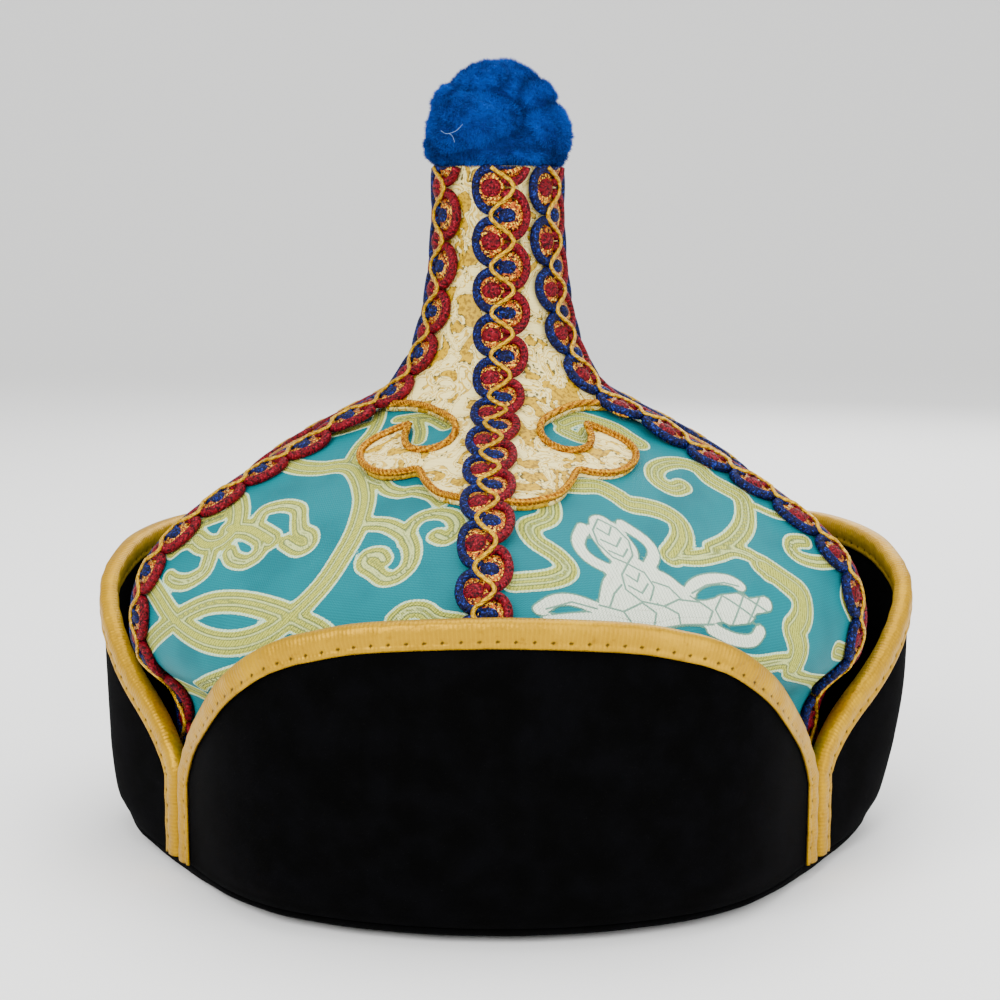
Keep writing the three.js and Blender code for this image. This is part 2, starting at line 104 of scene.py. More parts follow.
# Pattern charts, read off the flattened gores: each stroke is (width, points), a point is (across from the
# gore's middle, down the seam from the knot), all in millimetres. VINE is olive silk, BLOOM is ivory silk.
SCROLL_VINE = [
    (6.2, [(-42, 101), (-34, 100.5), (-27, 101.5), (-20, 101), (-14, 99), (-9, 99.5), (-4, 103), (0, 107),
           (4, 112), (7, 118), (9.3, 125), (10, 132), (9.5, 140), (7, 147), (2, 153), (-5, 157.5), (-14, 160),
           (-25, 160), (-38, 157), (-50, 151.5), (-60, 147)]),
    (5.6, [(-62, 174), (-57, 170.5), (-50, 165.5), (-42, 160), (-34, 155), (-26, 151), (-18, 149.3),
           (-10, 149), (0, 150), (8, 152), (15, 154), (22, 158)]),
    (3.6, [(-21, 69), (-17, 75), (-14.5, 82), (-14, 89), (-12, 97)]),
    (2.6, [(-27, 84.5), (-22, 81), (-17, 77)]),
    (5.0, [(-7, 98), (0, 103.5), (5, 105)]),
    (4.2, [(5, 104.5), (9, 107.2), (14, 108), (18, 106.5), (24, 107.5), (28, 110)]),
    (4.4, [(9, 121.5), (16, 120.7), (21, 121.7), (26, 124), (30, 128), (31.5, 132), (30.3, 135.5), (27, 137),
           (22.5, 135), (18.3, 133.3), (17.8, 130.8), (21, 130), (23.5, 131.5)]),
    (4.2, [(26.5, 125), (24.8, 120.5), (26, 116.5), (30, 114.8), (34.5, 115.8), (37.7, 119.5), (37.3, 123.3),
           (33.8, 122.6)]),
    (6.4, [(-39, 118.5), (-35, 123), (-32, 128), (-34, 132.5), (-39, 134), (-44, 132.5)]),
    (6.4, [(-34, 128), (-27, 127.6), (-22, 128.6), (-17, 130)]),
    (4.4, [(-25, 127), (-26.5, 121.5), (-22.5, 119), (-19, 118.4), (-15, 119.3), (-12, 123), (-9, 126),
           (-5, 127), (-3, 129.5), (-5.5, 131.2), (-11.5, 129.6)]),
    (4.6, [(-21, 129), (-18, 133.5), (-20.5, 137), (-25.5, 137), (-28.5, 135)]),
    (4.8, [(-36, 134), (-33.8, 139), (-33.5, 142.5), (-37.5, 146), (-42.5, 147), (-46, 146.3)]),
    (3.8, [(-43, 133.5), (-47.5, 135), (-50, 138.5)]),
    (3.6, [(-40, 124), (-45, 127), (-48, 130)]),
    (4.0, [(-27, 177.5), (-21, 173), (-14, 169.5), (-6, 166)]),
    (4.0, [(-58, 186), (-50, 184), (-40, 182.5), (-30, 182.5)]),
    (5.0, [(34.5, 149), (37, 146), (41, 145.6), (45, 148), (52, 149), (58, 153)]),
    (3.6, [(-10, 74.5), (-4, 72.6), (2, 73.2), (8.5, 76.5)]),
    (3.4, [(-3, 74), (1.5, 79.5), (4.5, 84.5)]),
    (4.0, [(10, 166), (18, 171), (27, 174), (38, 173), (46, 168)]),
    (3.6, [(18, 171), (20, 178), (26, 183)]),
]
FLOWER_VINE = [
    (6.2, [(-22, 104), (-16, 105.5), (-10, 106.5), (-6, 111), (-4, 114.5), (1, 116), (6, 118.5), (8.6, 122.5),
           (6.5, 127), (2, 130.3), (-1.5, 132.3)]),
    (4.6, [(-1.5, 132.3), (6, 133.7), (14, 133.2), (20, 132.5), (25, 135), (27, 139), (26.5, 142)]),
    (7.6, [(27, 139), (31, 144.5), (34.6, 149.5), (33, 154.7), (28, 158)]),
    (8.0, [(28, 158), (28.7, 163.5), (26, 168.5)]),
    (4.6, [(26, 166.5), (20, 165.6), (12, 165.2), (4, 163)]),
    (4.2, [(24, 169.5), (34, 175), (44, 179.6), (58, 185)]),
    (5.2, [(-26, 104), (-28, 112.5), (-31, 117), (-37, 119.3), (-38.3, 124), (-35, 129), (-34.4, 133.6),
           (-39.5, 136), (-50, 136.3)]),
    (5.6, [(18.8, 109.2), (14.5, 109.8), (11.6, 105.8), (14, 101.3), (19, 99), (25, 98.8), (29.5, 102),
           (30.5, 107), (33.5, 111.5), (36.3, 116), (34.5, 121.3), (30, 126), (22, 130), (14, 132)]),
    (1.6, [(39, 120), (44, 124), (50, 125.5), (56, 124)]),
    (4.2, [(48, 133.6), (43.5, 133), (41, 135.6), (43, 138.6), (49, 141), (58, 142)]),
    (3.8, [(60, 148.5), (55.5, 153), (58.5, 158.5)]),
    (5.6, [(49, 168), (54, 170), (61, 173)]),
    (6.0, [(-2, 75), (4, 73), (9, 75), (14, 80), (17, 88)]),
    (5.0, [(-4, 79), (0, 83), (4, 80)]),
    (4.0, [(-50, 160), (-42, 166), (-34, 168), (-26, 166)]),
    (3.6, [(-42, 166), (-40, 173), (-34, 178)]),
]
FLOWER_BLOOM = [
    (10.4, [(-16.8, 124.6), (-16.4, 128.4)]),
    (6.0, [(-17, 120.8), (-16.8, 123)]),
    (2.8, [(-23, 121.5), (-27.2, 126), (-26.6, 131), (-21.5, 135.5)]),
    (2.8, [(-10.6, 121.5), (-6.4, 127), (-6.8, 131.5), (-11.5, 135.5)]),
    (10.6, [(-16.6, 136), (-16.4, 141)]),
    (7.0, [(-12.5, 139), (-9, 146)]),
    (7.0, [(-20.5, 139), (-22.5, 146)]),
    (5.0, [(-20, 137), (-24, 139.5), (-27, 144.5)]),
    (5.0, [(-13, 137), (-8.5, 139.5), (-6, 144)]),
    (6.0, [(-27, 147), (-18, 149.5), (-8, 149), (0, 150)]),
    (3.0, [(-4.5, 145.5), (0, 142), (6, 140.7), (12, 141.7), (14.5, 144)]),
    (5.4, [(0, 150), (6, 149.4), (11, 150)]),
    (7.4, [(7, 149.8), (12, 150)]),
    (3.4, [(12, 150), (20.5, 150)]),
    (2.8, [(0, 154), (6, 157.3), (12, 158.4), (15.5, 156.4)]),
    (3.0, [(-45.5, 145), (-41, 142.6), (-36, 143), (-30, 146.5)]),
    (2.4, [(-44, 148.4), (-36, 148.2), (-29, 149)]),
]

# Thin woven lines inside the flower, as runs of points in the same chart.
FLOWER_LINES = [
    [(-17, 119), (-20.6, 122.4), (-21.6, 126.6), (-19.8, 131), (-16.5, 133.4)],
    [(-17, 119), (-13.2, 122.4), (-11.8, 126.6), (-13.4, 131), (-16.5, 133.4)],
    [(-19, 122), (-16.8, 124.4), (-14.6, 122)], [(-20, 125.5), (-16.7, 128), (-13.6, 125.5)],
    [(-19.6, 129), (-16.6, 131.2), (-13.8, 129)], [(-16.5, 133.4), (-20, 136.5), (-21, 141), (-18, 145)],
    [(-16.5, 133.4), (-13, 136.5), (-12.4, 141), (-15.4, 145)],
    [(-18.6, 136.6), (-16.6, 139), (-14.6, 136.6)],
    [(-19.6, 140), (-16.8, 142.6), (-13.8, 140)], [(-21.5, 139.5), (-24.8, 142), (-27.5, 146)],
    [(-12, 139.5), (-8.2, 141.5), (-6, 146)], [(-30, 145), (-24, 147.4), (-18, 145.4)],
    [(-18, 145), (-12, 147), (-7, 145.6), (-1, 147)], [(-29, 150.6), (-18, 152.6), (-8, 152.2), (1, 153)],
    [(-24, 147.4), (-22, 152)], [(-18, 145.4), (-15, 148.6), (-17, 152.6)],
    [(-12, 147), (-8.6, 149.4), (-9, 152.4)],
    [(-3, 145), (2, 149.8), (-1, 153)], [(4, 153.6), (3, 149.5), (7, 146)],
    [(7, 146), (16, 154)], [(12, 145.5), (20, 152)], [(7, 153.6), (15, 146)], [(12, 154), (20, 147.4)],
    [(-2, 144.2), (4, 142.3), (10, 142.3), (14, 144)], [(-44, 145), (-37, 143.4), (-31, 146)],
]

# Braid: its two scalloped cords, the zigzag cord between and the wound dots, around the seam.
BRAID_START = 0.05  # in repeats from the knot
BRAID_END = 15.1
SKIRT_UNDER = [9.2, 6.2, 9.2, 6.2, 9.2, 6.2]  # repeat up to which each braid lies on the skirt
BRAID_STEP_DOWN = 0.8  # repeats over which it comes down on the crown
DOT_PHASE = 0.5  # share of a repeat at which the first red dot sits
ARC_FROM_SEAM = 2.3  # where an arc of a scalloped cord is centred, across from the seam
ARC_WIDTH = 3.5  # how far it bulges
ARC_REACH = 5.4  # how far it runs each way along the seam


def unit(vectors):
    """Vectors brought to length 1."""
    return vectors / np.linalg.norm(vectors, axis=-1, keepdims=True)


def run_length(points):
    """Distance along a run of points, from 0 at its first."""
    return np.concatenate([[0], np.cumsum(np.linalg.norm(np.diff(points, axis=0), axis=1))])


def resampled(at, distance, rows):
    """Rows known at distances along a run, read off at other distances."""
    return np.stack([np.interp(at, distance, column) for column in rows.T], -1)


def at_bearing(bearing, radius, height):
    """Points at bearings in degrees, distances from the hat's axis and heights."""
    angle = np.radians(bearing)
    return np.stack(np.broadcast_arrays(radius * np.sin(angle), -radius * np.cos(angle), height), -1)


def smooth_step(x, low, high):
    """Smooth blend from 0 at low to 1 at high."""
    x = np.clip((np.asarray(x, float) - low) / (high - low), 0, 1)
    return x * x * (3 - 2 * x)


def spline(table, t):
    """Smooth curve through the rows of a table, at row numbers t."""
    table = np.asarray(table, float)
    t = np.asarray(t, float)
    last = len(table) - 1
    i = np.clip(np.floor(t).astype(int), 0, last - 1)
    u = (t - i)[..., None]
    a, b, c, d = (table[np.clip(i + k, 0, last)] for k in (-1, 0, 1, 2))
    return 0.5 * (2 * b + (c - a) * u + (2 * a - 5 * b + 4 * c - d) * u**2 + (3 * b - a - 3 * c + d) * u**3)


def seam_layer(t, lift):
    """Radius and height of the seam, lifted off the crown cloth."""
    step = 0.02
    tangent = spline(SEAM_LINE, np.asarray(t) + step) - spline(SEAM_LINE, np.asarray(t) - step)
    normal = unit(np.stack([-tangent[..., 1], tangent[..., 0]], -1))
    return spline(SEAM_LINE, t) + normal * (np.asarray(lift, float)[..., None] - BRAID_STACK)


def seam_bearing(k, t):
    """Bearing in degrees of seam k, which may run past a full turn."""
    turn = np.floor(k / GORES) * 360
    i = np.mod(k, GORES)
    share = smooth_step(t, 2.5, 7)
    return turn + SEAMS_NECK[i] * (1 - share) + SEAMS_DOME[i] * share


def gore_width(k, t):
    """Width of the gore after seam k, along the cloth."""
    return np.radians(seam_bearing(k + 1, t) - seam_bearing(k, t)) * seam_layer(t, 0 * t)[..., 0]


def surface(g, t, lift):
    """Point of the crown's surface: g counts gores round the hat, t repeats down the seam."""
    g, t, lift = np.broadcast_arrays(np.asarray(g, float), np.asarray(t, float), np.asarray(lift, float))
    k = np.floor(g).astype(int)
    u = g - k
    bearing = seam_bearing(k, t) * (1 - u) + seam_bearing(k + 1, t) * u
    rz = seam_layer(t, lift)
    hollow = GORE_HOLLOW * smooth_step(t, 3, 6.5) * (1 - smooth_step(t, 9, 13.5))
    r = rz[..., 0] * (1 - hollow * 4 * u * (1 - u))
    return at_bearing(bearing, r, rz[..., 1])


def beside_seam(k, across, t, lift):
    """Point that lies across millimetres to the side of seam k, on the bent surface."""
    t = np.asarray(t, float)
    width = np.where(np.asarray(across) < 0, gore_width(k - 1, t), gore_width(k, t))
    return surface(k + across / width, t, lift)


def braid_bed(k, t):
    """Lift of braid k's underside: over the skirt first, then down on the crown cloth."""
    share = smooth_step(t, SKIRT_UNDER[k], SKIRT_UNDER[k] + BRAID_STEP_DOWN)
    return (SKIRT_TOP + 0.1) * (1 - share) + 0.15 * share


def crown_drape(g, t):
    """Soft unevenness of the crown cloth: broad swells, and puckers drawn in by the seam stitching.

    It is a millimetre at most, and fades out under the skirt, behind the brim and at the seams.
    """
    u = g - np.floor(g)
    from_seam = np.minimum(u, 1 - u) * MEAN_GORE
    swell = 0.45 * np.sin(2.3 * g + 0.9 * t) * np.sin(1.1 * t - 1.7 * g)
    swell += 0.25 * np.sin(5.1 * g + 1.3 * t + 1)
    pucker = 0.35 * np.sin(2 * np.pi * t * 0.9 + 2 * g) * np.exp(-((from_seam / 11) ** 2))
    fade = smooth_step(t, 5, 7) * (1 - smooth_step(t, 13, 15))
    return (swell + pucker) * fade * smooth_step(from_seam, 3, 16)


def ring_faces(rows, columns, wrap_columns=True, wrap_rows=False):
    """Quads of a grid of rows by columns, as an array."""
    r = np.arange(rows if wrap_rows else rows - 1)
    c = np.arange(columns if wrap_columns else columns - 1)
    r, c = (a.ravel() for a in np.meshgrid(r, c, indexing="ij"))
    r2, c2 = (r + 1) % rows, (c + 1) % columns
    return np.stack([r * columns + c, r * columns + c2, r2 * columns + c2, r2 * columns + c], -1)


def capped_faces(rows, columns):
    """Faces of a tube of rows by columns with both ends closed."""
    last = (rows - 1) * columns
    ends = [list(range(columns)), list(range(last, last + columns))[::-1]]
    return ring_faces(rows, columns).tolist() + ends


class Parts:
    """Gathers verts, faces and per-vertex values of many small shapes into one mesh."""

    def __init__(self):
        self.verts, self.faces, self.values, self.slots = [], [], {}, []
        self.count = 0

    def add(self, verts, faces, slot=0, **values):
        verts = np.asarray(verts, float).reshape(-1, 3)
        self.verts.append(verts)
        self.faces += [tuple(int(i) + self.count for i in f) for f in faces]
        self.slots += [slot] * len(faces)
        for name, value in values.items():
            value = np.asarray(value, float)
            self.values.setdefault(name, []).append((self.count, value.reshape(len(verts), -1)))
        self.count += len(verts)

    def build(self, name, materials, closed=True):
        """Makes the piece; closed skins get their faces turned outwards."""
        mesh = bpy.data.meshes.new(name)
        mesh.from_pydata((np.concatenate(self.verts) * MM).tolist(), [], self.faces)
        for material in materials:
            mesh.materials.append(material)
        mesh.polygons.foreach_set("material_index", self.slots)
        mesh.polygons.foreach_set("use_smooth", [True] * len(mesh.polygons))
        for key, blocks in self.values.items():
            width = blocks[0][1].shape[1]
            full = np.zeros((self.count, width))
            for first, block in blocks:
                full[first:first + len(block)] = block
            kind, field = ("FLOAT_VECTOR", "vector") if width == 3 else ("FLOAT", "value")
            mesh.attributes.new(key, kind, "POINT").data.foreach_set(field, full.ravel())
        piece = bpy.data.objects.new(name, mesh)
        bpy.context.scene.collection.objects.link(piece)
        if closed:
            edit = bmesh.new()
            edit.from_mesh(mesh)
            bmesh.ops.recalc_face_normals(edit, faces=edit.faces)
            edit.to_mesh(mesh)
            edit.free()
        return piece


def dress(piece, node):
    """Puts a finished piece in place of its CAD node, which it hides, fixed to the hat."""
    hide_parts(node)
    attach(piece, "root")


def tube(path, out, radius, sides, squash=1.0):
    """Closed tube along path, out pointing off the cloth: verts, faces, each vertex's angle and distance."""
    along = unit(np.gradient(path, axis=0))
    out = unit(out - along * np.sum(out * along, 1, keepdims=True))
    side = np.cross(along, out)
    angle = np.linspace(0, 2 * np.pi, sides, endpoint=False)
    radius = np.broadcast_to(np.asarray(radius, float), (len(path),))[:, None, None]
    ring = out[:, None] * np.cos(angle)[:, None] * squash + side[:, None] * np.sin(angle)[:, None]
    verts = (path[:, None] + radius * ring).reshape(-1, 3)
    distance = np.repeat(run_length(path), sides)
    return verts, capped_faces(len(path), sides), np.tile(angle, len(path)), distance


def surface_normal(points_at, *place):
    """Outward normal of a surface function at each place, from small steps."""
    a, b, *rest = place
    step = 1e-3
    du = points_at(a + step, b, *rest) - points_at(a - step, b, *rest)
    dv = points_at(a, b + step, *rest) - points_at(a, b - step, *rest)
    normal = unit(np.cross(du, dv))
    centre = points_at(a, b, *rest)
    outward = np.sign(np.sum(normal * centre * np.array([1, 1, 0]), -1, keepdims=True))
    return normal * np.where(outward == 0, 1, outward)


def linear(code):
    """sRGB hex to linear RGBA."""
    code = code.lstrip("#")
    channels = [int(code[i:i + 2], 16) / 255 for i in (0, 2, 4)]
    return (*[c / 12.92 if c <= 0.04045 else ((c + 0.055) / 1.055) ** 2.4 for c in channels], 1.0)


SMOOTH = {"interpolation_type": "SMOOTHSTEP"}
RGBA = {"data_type": "RGBA"}


def add_node(tree, kind, *values, out=None, sockets=None, **settings):
    """Adds a node and gives its first open output, or the one called out.

    Values go to the open inputs in their order, and those in sockets by name. A socket is linked, and any
    other value is set.
    """
    made = tree.nodes.new("ShaderNode" + kind)
    for name, value in settings.items():
        setattr(made, name, value)
    pairs = list(zip([socket for socket in made.inputs if socket.enabled], values))
    pairs += [(made.inputs[name], value) for name, value in (sockets or {}).items()]
    for socket, value in pairs:
        if isinstance(value, bpy.types.NodeSocket):
            tree.links.new(value, socket)
        else:
            socket.default_value = value
    return next((socket for socket in made.outputs if socket.enabled and out in (None, socket.name)), None)


def new_material(name, color, height, relief, **shader):
    """A cloth material: color(node) gives its colour, and height(node) its relief, as millimetres of bump."""
    material = bpy.data.materials.new(name)
    material.use_nodes = True
    material.node_tree.nodes.clear()
    node = partial(add_node, material.node_tree)
    bumped = node("Bump", sockets={"Strength": 1.0, "Distance": relief * MM, "Height": height(node)})
    own = {key.replace("_", " "): value for key, value in shader.items()}
    inputs = {"Base Color": color(node), "Normal": bumped, "Metallic": 0.0, **own}
    node("OutputMaterial", node("BsdfPrincipled", sockets=inputs))
    return material


def object_mm(node):
    """Place on the hat in millimetres."""
    return node("VectorMath", node("TexCoord", out="Object"), 1 / MM, operation="SCALE")


def wave(node, value, pitch):
    """Wave from -1 to 1 that repeats every pitch."""
    return node("Math", node("Math", value, 2 * math.pi / pitch, operation="MULTIPLY"), operation="SINE")


def beside(node, value, level):
    """How far a value is from a level."""
    return node("Math", node("Math", value, level, operation="SUBTRACT"), operation="ABSOLUTE")


def layered(node, base, *layers):
    """Lays colours over base, each as (value, where none shows, where it is full, share at full, colour)."""
    for value, none, full, most, colour in layers:
        share = node("MapRange", value, none, full, 0, most, **SMOOTH)
        base = node("Mix", share, base, colour, **RGBA)
    return base


def line_distance(node, flat, runs):
    """Distance in mm to the nearest of some straight runs on the cloth, worked out at every shaded point."""
    nearest = NOWHERE
    for run in runs:
        for a, b in zip(run[:-1], run[1:]):
            v = np.subtract(b, a)
            start = node("VectorMath", flat, (*a, 0), operation="SUBTRACT")
            ahead = node("VectorMath", start, (*(v / (v @ v)), 0), operation="DOT_PRODUCT")
            back = node("VectorMath", (*-v, 0), node("Clamp", ahead), operation="SCALE")
            reach = node("VectorMath", start, back, operation="ADD")
            away = node("VectorMath", reach, operation="LENGTH")
            nearest = node("Math", away, nearest, operation="MINIMUM")
    return nearest


# Pitches in mm. Real wefts, ribs and plies lie 0.2 to 0.4 mm apart, which is too fine to show in a picture of
# the whole hat, so these are drawn two to four times as coarse. Noise scales are cells per mm, coarse alike.
WARP_PITCH, WEFT_PITCH, VINE_RIB, OUTLINE_RIB, BLOOM_RIB = 0.85, 0.75, 0.95, 1.1, 1.0
SPIRE_WEFT, TAPE_RIB = 0.8, 1.05
YARN_GRAIN, TINSEL_FACETS, TINSEL_GAPS = 1.5, 1.7, 1.2
FLECK_NOISE = (2.5, 0.65)  # detail and roughness of the noise for the yarns' painted highlight flecks and the tinsel's flecks
# Dark lines woven inside a vine: distance in from its edge, and how strongly each shows.
VINE_LINES = [(-0.5, 0.4), (-1.4, 0.8), (-2.15, 0.6)]
# Levels of the spire's noise at which its gold lines run, with their strength, and where its leaves begin.
GOLD_LINES = [(0.44, 0.9), (0.50, 0.8)]
LEAF_LEVEL = 0.54


def teal_satin_brocade(look):
    """Silk-satin ground with weft-patterned vines: smooth teal, ribbed olive motifs, pale corded outlines."""
    shaded, weft, rib, stripe_silk, outline, outline_rib, core, bloom_rib, bloom_line = (linear(c) for c in (
        "#00565E", "#003D47", "#5C661E", "#BAC47C", "#C0DAB2", "#6A9C88", "#52603A", "#94A890", "#56806E"))
    ground, vine, bloom = (*look.teal, 1), (*look.olive, 1), (*look.ivory, 1)

    def fields(node):
        flat = node("Attribute", attribute_name="cloth", out="Vector")
        frayed = node("Math", node("TexNoise", flat, 1.9, 1.0), 0.36, -0.18, operation="MULTIPLY_ADD")
        edges = [node("Math", node("Attribute", attribute_name=name, out="Fac"), frayed, operation="ADD")
                 for name in ("vine_edge", "bloom_edge")]
        return flat, *(node("SeparateXYZ", flat, out=axis) for axis in "XY"), *edges

    def color(node):
        flat, across, down, vine_edge, bloom_edge = fields(node)
        slant = node("Math", down, 0.55, across, operation="MULTIPLY_ADD")
        # Broad noise patches of the darker shaded teal are painted shade, standing in for the satin's uneven
        # sheen.
        base = layered(node, ground, (node("TexNoise", flat, 0.05), 0.4, 0.7, 0.6, shaded),
                       (wave(node, down, WEFT_PITCH), -1, 1, 0.25, weft))
        broken = node("MapRange", node("TexNoise", flat, 1.4, 1.0), 0.3, 0.6, **SMOOTH)
        dashes = node("MapRange", wave(node, slant, VINE_RIB), -0.3, 0.8, **SMOOTH)
        dashes = node("Math", dashes, broken, operation="MULTIPLY")
        olive, stripe = (
            node("Mix", node("Math", dashes, most, operation="MULTIPLY"), silk, dark, **RGBA)
            for most, silk, dark in ((0.75, vine, rib), (0.4, stripe_silk, vine)))
        in_stripe = node("Math", node("MapRange", vine_edge, -1.35, -1.5, **SMOOTH),
                         node("MapRange", vine_edge, -2.25, -2.05, **SMOOTH), operation="MULTIPLY")
        olive = layered(node, node("Mix", in_stripe, olive, stripe, **RGBA), *(
            (beside(node, vine_edge, inside), 0.24, 0.1, most, core) for inside, most in VINE_LINES))
        corded = layered(node, outline, (wave(node, slant, OUTLINE_RIB), -0.2, 1, 0.5, outline_rib))
        ivory = layered(node, bloom, (wave(node, across, BLOOM_RIB), 0, 1, 0.45, bloom_rib),
                        (line_distance(node, flat, FLOWER_LINES), 0.38, 0.2, 0.9, bloom_line))
        return layered(node, base, (vine_edge, 0.7, 0.5, 1, corded), (vine_edge, 0.05, -0.1, 1, olive),
                       (bloom_edge, 0.75, 0.55, 1, bloom_line), (bloom_edge, 0.3, 0.1, 1, ivory))

    def height(node):
        _, across, down, vine_edge, bloom_edge = fields(node)
        edge = node("Math", vine_edge, bloom_edge, operation="MINIMUM")
        raised = node("MapRange", edge, 0.9, 0.2, **SMOOTH)
        warp, weft = wave(node, across, WARP_PITCH), wave(node, down, WEFT_PITCH)
        weave = node("Math", warp, weft, operation="MULTIPLY")
        rough = node("MapRange", raised, 0, 1, 0.08, 0.35, **SMOOTH)
        woven = node("Math", weave, rough, raised, operation="MULTIPLY_ADD")
        groove = node("MapRange", beside(node, edge, -1.42), 0.4, 0.1, 0, 0.5, **SMOOTH)
        return node("Math", woven, groove, operation="SUBTRACT")

    return new_material("teal_satin_brocade", color, height, 0.3 * look.relief, Roughness=0.55,
                        Specular_IOR_Level=0.1)


def cream_brocade(look):
    """Cream satin with floated gold leaves, thin gold outlines and dark metallic flecks round them."""
    cream, gold, deep, fleck = (*look.cream, 1), (*look.leaf_gold, 1), linear("#7E5E00"), linear("#2A2604")

    def figures(node):
        place = object_mm(node)
        return place, node("TexNoise", place, 0.13, 2.0, 0.5, 2.0, 1.1), node("TexNoise", place, 1.1)

    def color(node):
        place, figure, grain = figures(node)

        def flecked(out, level, far, near, low, high, most):
            near_line = node("MapRange", beside(node, figure, level), far, near, **SMOOTH)
            worn = node("MapRange", grain, low, high, 0, most, **SMOOTH)
            return node("Mix", node("Math", near_line, worn, operation="MULTIPLY"), out, fleck, **RGBA)

        yellow = layered(node, gold, (grain, 0.45, 0.62, 0.85, deep))
        out = layered(node, cream, (figure, LEAF_LEVEL, LEAF_LEVEL + 0.015, 1, yellow))
        for level, most in GOLD_LINES:
            out = layered(node, out, (beside(node, figure, level), 0.014, 0.007, most, gold))
            out = flecked(out, level - 0.014, 0.008, 0.003, 0.5, 0.56, 0.8)
        out = flecked(out, LEAF_LEVEL, 0.03, 0.01, 0.53, 0.58, 0.9)
        weft = wave(node, node("SeparateXYZ", place, out="Z"), SPIRE_WEFT)
        return layered(node, out, (weft, -0.2, 1, 0.08, deep))

    def height(node):
        _, figure, grain = figures(node)
        raised = node("MapRange", figure, 0.53, 0.57, **SMOOTH)
        return node("Math", grain, 0.7, raised, operation="MULTIPLY_ADD")

    return new_material("cream_brocade", color, height, 0.2 * look.relief, Roughness=0.5,
                        Specular_IOR_Level=0.2)


def wound_yarn(look, name, dark, yarn, painted_highlight, pitch, twist, rough, highlight_share, metallic=0.0, mottle=10.0):
    """Yarn wound round its core: painted shade in the grooves between plies, and painted highlight flecks
    where fibres would catch light.
    """
    def plies(node):
        turn = node("Math", node("Attribute", attribute_name="along", out="Fac"), 2 * math.pi / pitch,
                    operation="MULTIPLY")
        round_it = node("Math", node("Attribute", attribute_name="angle", out="Fac"), turn, operation="ADD")
        return node("Math", round_it, operation="SINE")

    def color(node):
        place = object_mm(node)
        grain = node("TexNoise", place, YARN_GRAIN, 2.5, 0.7)
        mottled = node("Math", grain, mottle, -mottle / 2, operation="MULTIPLY_ADD")
        shade = node("Math", plies(node), twist, mottled, operation="MULTIPLY_ADD")
        # Painted shade: the dark colour fills the grooves between the plies, and the yarn colour their
        # crowns.
        out = layered(node, linear(dark), (shade, -1.1, 0.7, 1, (*yarn, 1)))
        # Painted highlight: bright flecks of the highlight colour where fibres would catch light.
        ends = node("TexNoise", place, YARN_GRAIN * 1.1, *FLECK_NOISE)
        return layered(node, out, (ends, 0.56, 0.64, highlight_share, linear(painted_highlight)))

    def height(node):
        fuzz = node("TexNoise", object_mm(node), YARN_GRAIN * 1.5)
        return node("Math", plies(node), twist * 0.7, fuzz, operation="MULTIPLY_ADD")

    return new_material(name, color, height, 0.25 * look.relief, Roughness=rough, Metallic=metallic,
                        Specular_IOR_Level=0.12)


def tinsel_thread(look):
    """Flat foil ribbon twisted through orange yarn: tiny mirror-bright facets beside dark red gaps."""
    def color(node):
        place = object_mm(node)
        yarn, foil = (node("TexNoise", place, scale, *FLECK_NOISE) for scale in (TINSEL_GAPS, TINSEL_FACETS))
        return layered(node, linear("#360404"), (yarn, 0.46, 0.54, 1, linear("#B04E00")),
                       (foil, 0.54, 0.6, 1, (*look.tinsel, 1)))

    def height(node):
        return node("TexNoise", object_mm(node), 2.0)

    return new_material("gold_tinsel", color, height, 0.5 * look.relief, Roughness=0.4, Metallic=0.5,
                        Specular_IOR_Level=0.3)


def cotton_velvet(look):
    """Dense cut pile: almost no mirror reflection, deep black face on, a faint grey sheen seen edge on."""
    def color(node):
        nap = node("TexNoise", object_mm(node), 0.12, 4.0)
        return layered(node, (*look.velvet, 1), (nap, 0.3, 0.75, 1, linear("#040405")))

    def height(node):
        return node("TexNoise", object_mm(node), 2.5, 3.0)

    return new_material("cotton_velvet", color, height, 0.12 * look.relief, Roughness=0.95,
                        Specular_IOR_Level=0.02, Sheen_Weight=0.015, Sheen_Roughness=0.35,
                        Sheen_Tint=linear("#6A6A74"))


def satin_bias_tape(look):
    """Satin cut on the bias: smooth gold, faint cross ribs, soft gloss along the fold, broad patches of
    painted highlight and painted shade, and painted shade in the needle holes.
    """
    def ribs(node):
        return wave(node, node("Attribute", attribute_name="along", out="Fac"), TAPE_RIB)

    def color(node):
        place, light = object_mm(node), linear("#C09400")
        needle = node("Attribute", attribute_name="needle", out="Fac")
        # Painted light: the light gold shows on the cross ribs and, in broad noise patches, as a painted
        # highlight; the #684200 patches are painted shade, and the needle holes get painted shade.
        return layered(node, (*look.tape_gold, 1), (ribs(node), 0, 1, 0.22, light),
                       (node("TexNoise", place, 0.09, 3.0), 0.45, 0.75, 0.55, light),
                       (node("TexNoise", place, 0.5, 3.0), 0.55, 0.8, 0.4, linear("#684200")),
                       (needle, 0.15, 0.7, 0.9, linear("#2E1C02")))

    def height(node):
        slubs = node("TexNoise", object_mm(node), 0.7)
        return node("Math", ribs(node), 0.12, slubs, operation="MULTIPLY_ADD")

    return new_material("satin_bias_tape", color, height, 0.2 * look.relief, Roughness=0.42, Metallic=0.55,
                        Specular_IOR_Level=0.15, Anisotropic=0.4)


